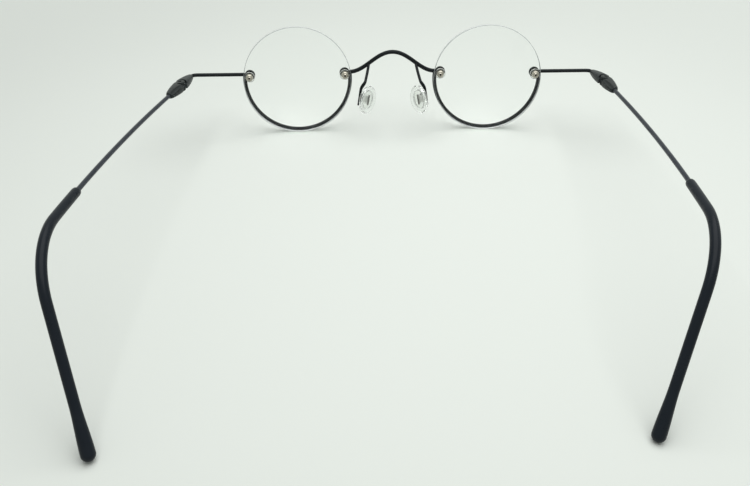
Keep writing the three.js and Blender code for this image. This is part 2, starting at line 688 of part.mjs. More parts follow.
function addPad(name, side) {
  piece(front, `pad_arm_${name}`, sided(padArmGeometry(), side), darkMetal);
  const seat = placed(front, side * padPivot.x, padPivot.y, padPivot.z);
  seat.rotation.set(0, side * padTurn.y, side * padTurn.z, padTurn.order);
  piece(seat, `pad_box_${name}`, padBoxGeometry(), darkMetal);
  piece(seat, `pad_screw_${name}`, sided(padScrewGeometry(), side), nickel);
  piece(seat, `pad_stud_${name}`, studGeometry(), nickel);
  piece(seat, `pad_core_${name}`, coreGeometry(), clearPlastic);
  piece(seat, `nose_pad_${name}`, padGeometry(), silicone);
}

function addTemple(name, side) {
  piece(front, `endpiece_${name}`, sided(endpieceGeometry(), side), darkMetal);
  const pin = placed(front, side * hingePin.x, hingePin.y, hingePin.z, -side * deg(HINGE_SPLAY));
  piece(pin, `hinge_front_${name}`, sided(hingeFrontGeometry(), side), hingeMetal);
  const arm = placed(pin, 0, 0, 0, side * deg(TURNED_IN[name]));
  piece(arm, `hinge_temple_${name}`, sided(hingeTempleGeometry(), side), hingeMetal);
  piece(arm, `hinge_screw_${name}`, hingeScrewGeometry(), nickel);
  const core = templeWireGeometry(TEMPLE_WIRE, wireStart, wireEnd);
  piece(arm, `temple_wire_${name}`, sided(core, side), darkMetal);
  piece(arm, `temple_tip_${name}`, sided(tipGeometry(), side), sleevePlastic);
}

for (const [name, side] of SIDES) {
  addLens(name, side);
  addPad(name, side);
  addTemple(name, side);
}

// Rest: tipped forwards until the rims and the bulb of the left tip meet the same plane
const bulbCentre = templePoint(templeLength - TIP_BULB_DIAMETER / 2)
  .applyAxisAngle(vec(0, 0, 1), deg(TURNED_IN.left - HINGE_SPLAY)).add(hingePin);
const reach = bulbCentre.y - rimY;
const dip = rimRadius + RIM_WIRE / 2 + bulbCentre.z;
front.rotation.x = Math.atan2(-dip, reach) + Math.asin(TIP_BULB_DIAMETER / 2 / Math.hypot(reach, dip));

// Origin: on the table, under the middle of the whole object
glasses.updateMatrixWorld(true);
const bounds = new THREE.Box3().setFromObject(glasses, true);
const middle = bounds.getCenter(vec());
front.position.set(-middle.x, -middle.y, -bounds.min.z);

export default glasses;
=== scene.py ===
"""Round half-rim reading glasses, open and resting on a pale table top.

Pieces are shaped in millimetres with the lenses upright, then set into the row frame.
"""

from __future__ import annotations

import json
import logging
import math
from contextlib import contextmanager
from dataclasses import dataclass
from enum import Enum
from typing import Any, Iterator, Sequence

import bpy
from mathutils import Matrix, Vector

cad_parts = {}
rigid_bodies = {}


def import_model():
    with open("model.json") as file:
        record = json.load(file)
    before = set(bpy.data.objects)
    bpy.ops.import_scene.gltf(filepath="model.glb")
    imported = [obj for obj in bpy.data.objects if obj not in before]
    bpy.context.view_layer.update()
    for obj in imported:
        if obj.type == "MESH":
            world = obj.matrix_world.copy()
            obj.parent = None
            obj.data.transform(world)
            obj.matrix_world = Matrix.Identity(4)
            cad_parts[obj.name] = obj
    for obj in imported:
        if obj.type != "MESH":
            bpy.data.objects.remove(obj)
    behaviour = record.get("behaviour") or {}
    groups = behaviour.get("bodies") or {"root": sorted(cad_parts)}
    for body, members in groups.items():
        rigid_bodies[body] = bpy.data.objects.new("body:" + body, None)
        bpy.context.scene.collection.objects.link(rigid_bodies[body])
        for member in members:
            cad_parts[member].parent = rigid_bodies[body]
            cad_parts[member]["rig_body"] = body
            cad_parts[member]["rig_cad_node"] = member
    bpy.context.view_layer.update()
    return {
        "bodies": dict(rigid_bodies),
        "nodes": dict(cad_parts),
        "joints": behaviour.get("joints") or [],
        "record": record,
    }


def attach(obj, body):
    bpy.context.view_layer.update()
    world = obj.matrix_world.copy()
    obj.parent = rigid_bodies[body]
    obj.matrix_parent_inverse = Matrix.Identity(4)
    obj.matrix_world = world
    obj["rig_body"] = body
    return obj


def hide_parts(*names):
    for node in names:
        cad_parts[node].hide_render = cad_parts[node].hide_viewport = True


Colour = tuple[float, float, float]
Profile = Sequence[tuple[float, float]]
Object = bpy.types.Object
Material = bpy.types.Material
Socket = bpy.types.NodeSocket
Carver = tuple[Object, Matrix]

LOG = logging.getLogger("reading_glasses")
# Metres in a millimetre.
MM = 0.001
# The radius that stands for a point on a turning axis, until doubled points are merged.
POLE = 0.002
# Points nearer than this become one: on turned pieces, then on drawn, spun and cast ones.
MERGE = 0.01
FINE_MERGE = 0.001
# Edges above this many degrees stay crisp: on turned pieces, then on wires and mouldings.
CRISP_EDGE = 35.0
ROUND_EDGE = 50.0
# Stands a piece that was turned about Y upright.
UPRIGHT = Matrix.Rotation(math.pi / 2, 4, "X")


class Side(Enum):
    """The wearer's two sides."""

    LEFT = "left"
    RIGHT = "right"

    @property
    def mirror(self) -> Matrix:
        """Turns a piece shaped for the left side into this side's piece."""
        return Matrix.Diagonal((1.0 if self is Side.LEFT else -1.0, 1.0, 1.0, 1.0))


class Place(Enum):
    """Where a lens mount sits: towards the nose or towards the temple."""

    NASAL = "nasal"
    TEMPORAL = "temporal"

    @property
    def way(self) -> float:
        """Direction along X from the lens centre, on the left lens."""
        return -1.0 if self is Place.NASAL else 1.0


# Hand tools


def deselect() -> None:
    """Leaves object mode ready and nothing selected."""
    if bpy.context.object and bpy.context.object.mode != "OBJECT":
        bpy.ops.object.mode_set(mode="OBJECT")
    bpy.ops.object.select_all(action="DESELECT")


def pick(piece: Object) -> None:
    """Makes one piece the only selected and active object.

    Args:
        piece: The piece to work on.
    """
    deselect()
    piece.select_set(True)
    bpy.context.view_layer.objects.active = piece


def apply_place() -> None:
    """Puts the active piece's place, turn and scale into its mesh."""
    bpy.ops.object.transform_apply(location=True, rotation=True, scale=True)


@contextmanager
def editing(piece: Object) -> Iterator[None]:
    """Opens a piece in edit mode with its whole mesh selected.

    Args:
        piece: The piece to edit.

    Returns:
        The context, after which the piece is back in object mode.
    """
    pick(piece)
    bpy.ops.object.mode_set(mode="EDIT")
    bpy.ops.mesh.select_all(action="SELECT")
    yield
    bpy.ops.object.mode_set(mode="OBJECT")


def settle_modifier(piece: Object, kind: str, **settings: Any) -> None:
    """Adds one modifier to a piece and applies it.

    Args:
        piece: The piece that is changed.
        kind: Blender's modifier type.
        settings: Values for the modifier's properties.
    """
    pick(piece)
    modifier = piece.modifiers.new(kind.title(), kind)
    for key, value in settings.items():
        setattr(modifier, key, value)
    bpy.ops.object.modifier_apply(modifier=modifier.name)


def smooth(piece: Object, degrees: float = CRISP_EDGE) -> None:
    """Shades a piece smooth, keeping edges sharper than an angle."""
    pick(piece)
    bpy.ops.object.shade_smooth_by_angle(angle=math.radians(degrees))


def close_up(piece: Object, merge: float = MERGE) -> None:
    """Merges doubled points, drops loose ones and turns all faces outwards.

    Args:
        piece: The piece to close.
        merge: Points nearer than this become one.
    """
    with editing(piece):
        bpy.ops.mesh.remove_doubles(threshold=merge)
        bpy.ops.mesh.delete_loose()
        bpy.ops.mesh.select_all(action="SELECT")
        bpy.ops.mesh.normals_make_consistent(inside=False)


def turned(name: str, profile: Profile, segments: int = 48) -> Object:
    """Shapes a round piece about Y by extruding a circle from ring to ring.

    Args:
        name: Name of the piece.
        profile: Radius and station pairs that start and end on the axis, or close on themselves.
        segments: Points round each ring.

    Returns:
        The closed piece, in millimetres.
    """
    rings = [(max(radius, POLE), station) for radius, station in profile]
    deselect()
    bpy.ops.mesh.primitive_circle_add(
        vertices=segments, radius=rings[0][0], location=(0, rings[0][1], 0),
        rotation=(math.pi / 2, 0, 0),
    )
    piece = bpy.context.object
    piece.name = name
    apply_place()
    with editing(piece):
        for (before, start), (after, end) in zip(rings, rings[1:]):
            step = {"value": (0, end - start, 0)}
            bpy.ops.mesh.extrude_region_move(TRANSFORM_OT_translate=step)
            grow = after / before
            bpy.ops.transform.resize(value=(grow, 1, grow), center_override=(0, end, 0))
    close_up(piece)
    smooth(piece)
    return piece


def drawn(
    name: str, points: Sequence[Vector], radii: Sequence[float], roundness: int = 5
) -> Object:
    """Draws a wire or sleeve of changing thickness along a line.

    Args:
        name: Name of the piece.
        points: The centre line, close enough together to look smooth.
        radii: The thickness at each point.
        roundness: Bevel resolution of the section.

    Returns:
        The closed piece, in millimetres.
    """
    deselect()
    bpy.ops.curve.primitive_bezier_curve_add(location=(0, 0, 0))
    piece = bpy.context.object
    piece.name = name
    curve = piece.data
    curve.dimensions = "3D"
    curve.splines.clear()
    spline = curve.splines.new("POLY")
    spline.points.add(len(points) - 1)
    for knot, point, radius in zip(spline.points, points, radii):
        knot.co = (*point, 1.0)
        knot.radius = radius
    curve.bevel_depth = 1.0
    curve.bevel_resolution = roundness
    curve.use_fill_caps = True
    bpy.ops.object.convert(target="MESH")
    piece = bpy.context.object
    close_up(piece, FINE_MERGE)
    smooth(piece, ROUND_EDGE)
    return piece


def block(name: str, size: Sequence[float], centre: Sequence[float]) -> Object:
    """A plain block, to be shaped further or to cut with.

    Args:
        name: Name of the piece.
        size: Its three lengths.
        centre: Its middle.

    Returns:
        The block, in millimetres.
    """
    deselect()
    bpy.ops.mesh.primitive_cube_add(size=1, location=centre)
    piece = bpy.context.object
    piece.name = name
    piece.scale = size
    apply_place()
    return piece


def cut(piece: Object, cutter: Object, operation: str = "DIFFERENCE") -> None:
    """Takes one shape out of a piece, or welds it on, and drops the shape.

    Args:
        piece: The piece that is changed.
        cutter: The shape that is removed or added.
        operation: Blender's name for what is done, DIFFERENCE or UNION.
    """
    settle_modifier(piece, "BOOLEAN", operation=operation, object=cutter, solver="EXACT")
    pick(cutter)
    bpy.ops.object.delete()


def slotted(piece: Object, station: float, width: float, depth: float, reach: float) -> None:
    """Saws a driver slot across the end of a screw head.

    Args:
        piece: The screw, about Y.
        station: Where the end of the head lies along Y.
        width: Width of the slot.
        depth: Depth of the slot.
        reach: Length of the saw cut, beyond the head.
    """
    cut(piece, block("slot_saw", (width, 2 * depth, reach), (0, station, 0)))
    smooth(piece)


def set_down(piece: Object, matrix: Matrix) -> Object:
    """Moves a piece from its own millimetre frame to its place in the row frame.

    Args:
        piece: The piece to place.
        matrix: Its place, in metres; a mirrored one is turned right side out again.

    Returns:
        The piece, with its place in its mesh.
    """
    pick(piece)
    piece.matrix_world = matrix @ Matrix.Scale(MM, 4)
    apply_place()
    with editing(piece):
        bpy.ops.mesh.normals_make_consistent(inside=False)
    return piece


def along_bezier(ends: Sequence[Vector], steps: int) -> list[Vector]:
    """Points along one cubic Bezier arc.

    Args:
        ends: Start, two handles and end.
        steps: Number of spans.

    Returns:
        The points, both ends included.
    """
    a, b, c, d = ends
    shares = [i / steps for i in range(steps + 1)]
    return [
        a * (1 - t) ** 3 + b * 3 * t * (1 - t) ** 2 + c * 3 * t**2 * (1 - t) + d * t**3
        for t in shares
    ]


# Finishes


class Recipe:
    """A small hand for wiring shader nodes."""

    def __init__(self, tree: bpy.types.NodeTree) -> None:
        """Starts on an empty tree."""
        self.tree = tree
        tree.nodes.clear()

    def node(self, kind: str, **values: Any) -> bpy.types.Node:
        """Adds a node and sets its properties or plain inputs.

        Args:
            kind: Node type.
            values: Properties by attribute name, or inputs by name with spaces as underscores.

        Returns:
            The new node.
        """
        made = self.tree.nodes.new(kind)
        for key, value in values.items():
            label = key.replace("_", " ")
            if label in made.inputs:
                made.inputs[label].default_value = value
            else:
                setattr(made, key, value)
        return made

    def join(self, *links: tuple[Socket, Socket]) -> None:
        """Links the first socket of each pair to the second."""
        for source, target in links:
            self.tree.links.new(source, target)


def new_group(
    name: str, inputs: dict[str, str], outputs: dict[str, str]
) -> tuple[Recipe, bpy.types.Node, bpy.types.Node]:
    """Starts a shader node group with named sockets.

    Args:
        name: Name of the group.
        inputs: Socket types by input name.
        outputs: Socket types by output name.

    Returns:
        The recipe, the group's input node and its output node.
    """
    tree = bpy.data.node_groups.new(name, "ShaderNodeTree")
    for way, sockets in (("INPUT", inputs), ("OUTPUT", outputs)):
        for label, kind in sockets.items():
            tree.interface.new_socket(name=label, in_out=way, socket_type=kind)
    recipe = Recipe(tree)
    return recipe, recipe.node("NodeGroupInput"), recipe.node("NodeGroupOutput")


def satin_grain_group() -> bpy.types.NodeTree:
    """Fine grain of a plated or moulded surface: a wandering roughness and a shallow relief.

    Returns:
        The node group.
    """
    value, vector = "NodeSocketFloat", "NodeSocketVector"
    recipe, given, result = new_group(
        "satin_grain",
        {"Vector": vector, "Scale": value, "Smoothest": value, "Roughest": value},
        {"Roughness": value, "Height": value},
    )
    grain = recipe.node("ShaderNodeTexNoise", Detail=4.0, Roughness=0.6)
    cloud = recipe.node("ShaderNodeTexNoise", Detail=2.0, Scale=160.0)
    blend = recipe.node("ShaderNodeMath", operation="MULTIPLY_ADD")
    half = recipe.node("ShaderNodeMath", operation="MULTIPLY")
    for evenly in (blend, half):
        evenly.inputs[1].default_value = 0.5
    span = recipe.node("ShaderNodeMapRange", From_Min=0.3, From_Max=0.7)
    recipe.join(
        (given.outputs["Vector"], grain.inputs["Vector"]),
        (given.outputs["Vector"], cloud.inputs["Vector"]),
        (given.outputs["Scale"], grain.inputs["Scale"]),
        (cloud.outputs["Fac"], half.inputs[0]),
        (grain.outputs["Fac"], blend.inputs[0]),
        (half.outputs[0], blend.inputs[2]),
        (blend.outputs[0], span.inputs["Value"]),
        (given.outputs["Smoothest"], span.inputs["To Min"]),
        (given.outputs["Roughest"], span.inputs["To Max"]),
        (span.outputs["Result"], result.inputs["Roughness"]),
        (grain.outputs["Fac"], result.inputs["Height"]),
    )
    return recipe.tree


def handled_tone_group() -> bpy.types.NodeTree:
    """Slow drift between two near shades, as plating and plastic take from handling.

    Returns:
        The node group.
    """
    value, vector, colour = "NodeSocketFloat", "NodeSocketVector", "NodeSocketColor"
    recipe, given, result = new_group(
        "handled_tone",
        {"Vector": vector, "Scale": value, "Deep": colour, "Worn": colour},
        {"Color": colour},
    )
    drift = recipe.node("ShaderNodeTexNoise", Detail=3.0, Roughness=0.55)
    mix = recipe.node("ShaderNodeMix", data_type="RGBA")
    recipe.join(
        (given.outputs["Vector"], drift.inputs["Vector"]),
        (given.outputs["Scale"], drift.inputs["Scale"]),
        (drift.outputs["Fac"], mix.inputs[0]),
        (given.outputs["Deep"], mix.inputs[6]),
        (given.outputs["Worn"], mix.inputs[7]),
        (mix.outputs[2], result.inputs["Color"]),
    )
    return recipe.tree


@dataclass(frozen=True)
class Finish:
    """One finish of the glasses: two shades, a grain, and how clear or metallic it is."""

    name: str
    slot: str
    deep: Colour
    worn: Colour
    smoothest: float
    roughest: float
    grain: float = 3000.0
    relief: float = 0.05
    metal: float = 0.0
    clear: float = 0.0
    index: float = 1.5
    shine: float = 0.5
    light_through: float = 0.0
    tone_scale: float = 240.0
    relief_height: float = 0.0001

    def made(self, groups: dict[str, bpy.types.NodeTree]) -> Material:
        """Builds the material.

        Args:
            groups: The shared node groups by name.

        Returns:
            The new material.
        """
        material = bpy.data.materials.new(self.name)
        material.use_nodes = True
        recipe = Recipe(material.node_tree)
        where = recipe.node("ShaderNodeTexCoord").outputs["Object"]
        tone = recipe.node(
            "ShaderNodeGroup", node_tree=groups["handled_tone"], Scale=self.tone_scale,
            Deep=(*self.deep, 1.0), Worn=(*self.worn, 1.0),
        )
        grain = recipe.node(
            "ShaderNodeGroup", node_tree=groups["satin_grain"], Scale=self.grain,
            Smoothest=self.smoothest, Roughest=self.roughest,
        )
        bump = recipe.node("ShaderNodeBump", Strength=self.relief, Distance=self.relief_height)
        surface = recipe.node(
            "ShaderNodeBsdfPrincipled", Metallic=self.metal, IOR=self.index,
            Transmission_Weight=self.clear, Specular_IOR_Level=self.shine,
        )
        recipe.join(
            (where, tone.inputs["Vector"]),
            (where, grain.inputs["Vector"]),
            (tone.outputs["Color"], surface.inputs["Base Color"]),
            (grain.outputs["Roughness"], surface.inputs["Roughness"]),
            (grain.outputs["Height"], bump.inputs["Height"]),
            (bump.outputs["Normal"], surface.inputs["Normal"]),
        )
        self.lead_out(recipe, surface)
        return material

    def lead_out(self, recipe: Recipe, surface: bpy.types.Node) -> None:
        """Joins the surface to the output; a clear piece lets most light through to the table.

        Args:
            recipe: The material's nodes.
            surface: The finished surface shader.
        """
        out = recipe.node("ShaderNodeOutputMaterial")
        if not self.light_through:
            recipe.join((surface.outputs["BSDF"], out.inputs["Surface"]))
            return
        path = recipe.node("ShaderNodeLightPath")
        tint = (self.light_through,) * 3 + (1.0,)
        open_way = recipe.node("ShaderNodeBsdfTransparent", Color=tint)
        mix = recipe.node("ShaderNodeMixShader")
        recipe.join(
            (path.outputs["Is Shadow Ray"], mix.inputs["Fac"]),
            (surface.outputs["BSDF"], mix.inputs[1]),
            (open_way.outputs["BSDF"], mix.inputs[2]),
            (mix.outputs["Shader"], out.inputs["Surface"]),
        )


WIRE_BLACK = Finish(
    "wire_black", "dark_metal", (0.005, 0.0065, 0.0075), (0.010, 0.0125, 0.0145), 0.26, 0.42,
    metal=0.5, shine=0.2,
)
TEMPLE_BLUE = Finish(
    "temple_blue_black", "dark_metal", (0.024, 0.028, 0.040), (0.050, 0.056, 0.072), 0.26, 0.42,
    metal=0.85,
)
GUNMETAL = Finish(
    "hinge_gunmetal", "hinge_metal", (0.020, 0.0245, 0.026), (0.041, 0.046, 0.050), 0.36, 0.56,
    grain=5200.0, relief=0.12, metal=0.8,
)
# The hinge's gunmetal made darker for the temple half: painted shade.
GUNMETAL_SHADED = Finish(
    "fork_gunmetal_painted_shade", "hinge_metal", (0.0157, 0.019, 0.020), (0.033, 0.038, 0.039), 0.34, 0.54,
    grain=5200.0, relief=0.12, metal=0.8,
)
NUT_NICKEL = Finish(
    "nut_nickel", "nickel", (0.32, 0.30, 0.25), (0.50, 0.47, 0.41), 0.20, 0.38, metal=1.0
)
STUD_NICKEL = Finish(
    "stud_nickel", "nickel", (0.66, 0.67, 0.64), (0.82, 0.83, 0.80), 0.28, 0.45, metal=0.7
)
# Dark steel for the pad's moulded leaf: its darkness is painted shade for the stud's shaded side.
LEAF_STEEL_SHADE = Finish(
    "leaf_steel_painted_shade", "nickel", (0.06, 0.058, 0.054), (0.13, 0.125, 0.115), 0.22, 0.40, metal=1.0
)
DARK_STEEL = Finish(
    "screw_steel", "nickel", (0.10, 0.09, 0.08), (0.20, 0.18, 0.16), 0.22, 0.40, metal=1.0
)
SCREW_NICKEL = Finish(
    "screw_nickel", "nickel", (0.42, 0.39, 0.33), (0.62, 0.58, 0.50), 0.16, 0.32, metal=1.0
)
# Near-black for the screw's drilled end: painted shade in the recess.
PIT_PAINTED_SHADE = Finish(
    "screw_pit_painted_shade", "nickel", (0.012, 0.012, 0.010), (0.03, 0.03, 0.026), 0.4, 0.6,
    metal=0.6, shine=0.1,
)
# The low index stands for the antireflection coat: the lens hardly mirrors the room.
LENS_CLEAR = Finish(
    "lens_clear", "lens", (0.985, 0.992, 0.987), (0.992, 0.996, 0.993), 0.0, 0.012,
    grain=400.0, relief=0.0, clear=1.0, index=1.25, light_through=0.95,
)
LENS_GROUND = Finish(
    "lens_ground_edge", "lens", (0.72, 0.76, 0.74), (0.86, 0.89, 0.87), 0.30, 0.50,
    grain=6000.0, relief=0.2, clear=0.35, light_through=0.8,
)
# Dark grey on the clear lens chamfers: painted shade for the thin dark line along the lens edge.
LENS_BEVEL_SHADE = Finish(
    "lens_bevel_painted_shade", "lens", (0.20, 0.23, 0.23), (0.30, 0.33, 0.33), 0.14, 0.28,
    grain=6000.0, clear=0.3, light_through=0.7,
)
BUSHING_CLEAR = Finish(
    "bushing_clear", "clear_plastic", (0.93, 0.94, 0.92), (0.97, 0.98, 0.96), 0.05, 0.14,
    clear=1.0, shine=0.25, light_through=0.85,
)
SILICONE = Finish(
    "pad_silicone", "silicone", (0.93, 0.95, 0.93), (0.97, 0.98, 0.97), 0.10, 0.24,
    relief=0.08, clear=0.92, index=1.41, light_through=0.85,
)
SLEEVE_BLACK = Finish(
    "sleeve_black", "sleeve", (0.0055, 0.0085, 0.013), (0.011, 0.015, 0.021), 0.24, 0.38,
    grain=2200.0, shine=0.12,
)


class Wardrobe:
    """Keeps each finish as one material and dresses pieces in it."""

    def __init__(self) -> None:
        """Builds the shared groups."""
        self.groups = {"satin_grain": satin_grain_group(), "handled_tone": handled_tone_group()}
        self.materials: dict[str, Material] = {}

    def dress(self, piece: Object, *finishes: Finish) -> None:
        """Gives a piece its materials, the first on every face until told otherwise.

        Args:
            piece: The piece to dress.
            finishes: What it wears.
        """
        piece.data.materials.clear()
        for finish in finishes:
            if finish.name not in self.materials:
                self.materials[finish.name] = finish.made(self.groups)
            piece.data.materials.append(self.materials[finish.name])


class Bench:
    """The loaded frame, the rest pose and the finishes that every sub-assembly works with."""

    def __init__(self, frame: dict[str, Any], wardrobe: Wardrobe) -> None:
        """Finds the rest pose of the upright glasses from the two temple hinges.

        Args:
            wardrobe: The finishes.
        """
        self.frame = frame
        self.wardrobe = wardrobe
        joints = {joint["name"]: joint for joint in frame["joints"]}
        left, right = joints["temple_left_fold"], joints["temple_right_fold"]
        tilt = Matrix.Rotation(math.atan2(-left["axis"][1], left["axis"][2]), 4, "X")
        middle = (Vector(left["pos_m"]) + Vector(right["pos_m"])) / 2
        pin = Hinge().pin
        self.rest = Matrix.Translation(middle - tilt @ Vector((0, pin.y, pin.z)) * MM) @ tilt

    def place(self, side: Side, seat: Matrix) -> Matrix:
        """Place of a left-hand seat on one side of the resting glasses.

        Args:
            side: Which side the piece is for.
            seat: The left seat, in millimetres, among the upright glasses.

        Returns:
            The place in the row frame, for geometry still in millimetres.
        """
        shift = Matrix.Translation(seat.to_translation() * MM)
        return self.rest @ side.mirror @ shift @ seat.to_3x3().to_4x4()

    def finish_piece(
        self, piece: Object, finish: Finish, body: str, *nodes: str, dressed: bool = False
    ) -> None:
        """Dresses a piece, seats it on its body and lets it stand for CAD nodes.

        Args:
            piece: A piece in its place in the row frame.
            finish: What it wears.
            body: The body it rides on.
            nodes: The CAD nodes that it replaces.
            dressed: Whether the piece already wears its materials.
        """
        if not dressed:
            self.wardrobe.dress(piece, finish)
        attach(piece, body)
        if nodes:
            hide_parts(*nodes)
        LOG.info("%s rides on %s", piece.name, body)

    def seat_piece(
        self, piece: Object, place: Matrix, finish: Finish, body: str, *nodes: str,
        dressed: bool = False,
    ) -> None:
        """Sets a piece down at its place and finishes it there."""
        set_down(piece, place)
        self.finish_piece(piece, finish, body, *nodes, dressed=dressed)

    def softened(
        self, node: str, finish: Finish, body: str, voxel: float, passes: int,
        cutters: Sequence[Object] = (),
    ) -> None:
        """Recasts a machined node with the softly broken edges of a tumbled part.

        Args:
            node: The CAD node that is copied and replaced.
            finish: What the piece wears.
            body: The body it rides on.
            voxel: Size of the cast's grain in millimetres.
            passes: How often the edges are eased.
            cutters: Shapes taken out before the edges are eased.
        """
        pick(self.frame["nodes"][node])
        bpy.ops.object.duplicate()
        piece = bpy.context.object
        piece.name = f"{node}_cast"
        bpy.ops.object.parent_clear(type="CLEAR_KEEP_TRANSFORM")
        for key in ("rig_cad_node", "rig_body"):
            del piece[key]
        close_up(piece, FINE_MERGE * MM)
        for cutter in cutters:
            cut(piece, cutter)
        grain = voxel * MM
        settle_modifier(piece, "REMESH", mode="VOXEL", voxel_size=grain, use_smooth_shade=True)
        close_up(piece, grain / 10)
        settle_modifier(piece, "SMOOTH", factor=0.5, iterations=passes)
        self.finish_piece(piece, finish, body, node)


# Sub-assemblies


@dataclass
class Lens:
    """A round clear lens, bored for its two mounts."""

    radius: float = 18.0
    spacing: float = 64.0
    edge: float = 1.6
    front_curve: float = 160.0
    back_curve: float = 320.0
    face_form: float = 3.0
    chamfer: float = 0.12
    mount_inset: float = 2.0
    mount_rise: float = 2.0
    hole: float = 2.04
    steps: int = 12
    facets: int = 128
    hole_facets: int = 48
    crisp: float = 25.0
    bevel_lean: float = 0.3

    @property
    def mount_x(self) -> float:
        """How far the mounts stand from the lens centre, along X."""
        return math.sqrt((self.radius - self.mount_inset) ** 2 - self.mount_rise**2)

    @property
    def seat(self) -> Matrix:
        """Place of the left lens among the upright glasses, in millimetres."""
        turn = Matrix.Rotation(math.radians(self.face_form), 4, "Z")
        return Matrix.Translation((self.spacing / 2, 0, 0)) @ turn

    def front(self, radius: float) -> float:
        """Station of the front surface at a radius."""
        return self.sag(self.front_curve, radius) - self.sag(self.front_curve, self.radius)

    def back(self, radius: float) -> float:
        """Station of the back surface at a radius."""
        rise = self.edge + self.sag(self.back_curve, radius)
        return rise - self.sag(self.back_curve, self.radius)

    @staticmethod
    def sag(curve: float, radius: float) -> float:
        """Depth of a sphere's cap at a radius."""
        return curve - math.sqrt(curve**2 - radius**2)

    def build(self, bench: Bench, side: Side) -> None:
        """Turns, bores and sets down the lens, finishing its ground edge and painted-shade
        bevels.

        Args:
            bench: The shared frame and finishes.
            side: Which lens.
        """
        inner = self.radius - self.chamfer
        radii = [inner * i / self.steps for i in range(self.steps + 1)]
        front = [(r, self.front(r)) for r in radii]
        back = [(r, self.back(r)) for r in reversed(radii)]
        rim = [(self.radius, self.chamfer), (self.radius, self.edge - self.chamfer)]
        piece = turned(f"lens_blank_{side.value}", [*front, *rim, *back], self.facets)
        for place in Place:
            deselect()
            bpy.ops.mesh.primitive_cylinder_add(
                vertices=self.hole_facets, radius=self.hole / 2, depth=self.radius,
                rotation=(math.pi / 2, 0, 0),
                location=(place.way * self.mount_x, 0, self.mount_rise),
            )
            cut(piece, bpy.context.object)
        smooth(piece, self.crisp)
        bench.wardrobe.dress(piece, LENS_CLEAR, LENS_GROUND, LENS_BEVEL_SHADE)
        # Round the rim the upright band is the pale ground edge; the chamfers take the painted
        # shade.
        for face in piece.data.polygons:
            if Vector((face.center.x, face.center.z)).length > inner:
                face.material_index = 1 if abs(face.normal.y) < self.bevel_lean else 2
        place = bench.place(side, self.seat)
        bench.seat_piece(piece, place, LENS_CLEAR, "front", f"lens_{side.value}", dressed=True)


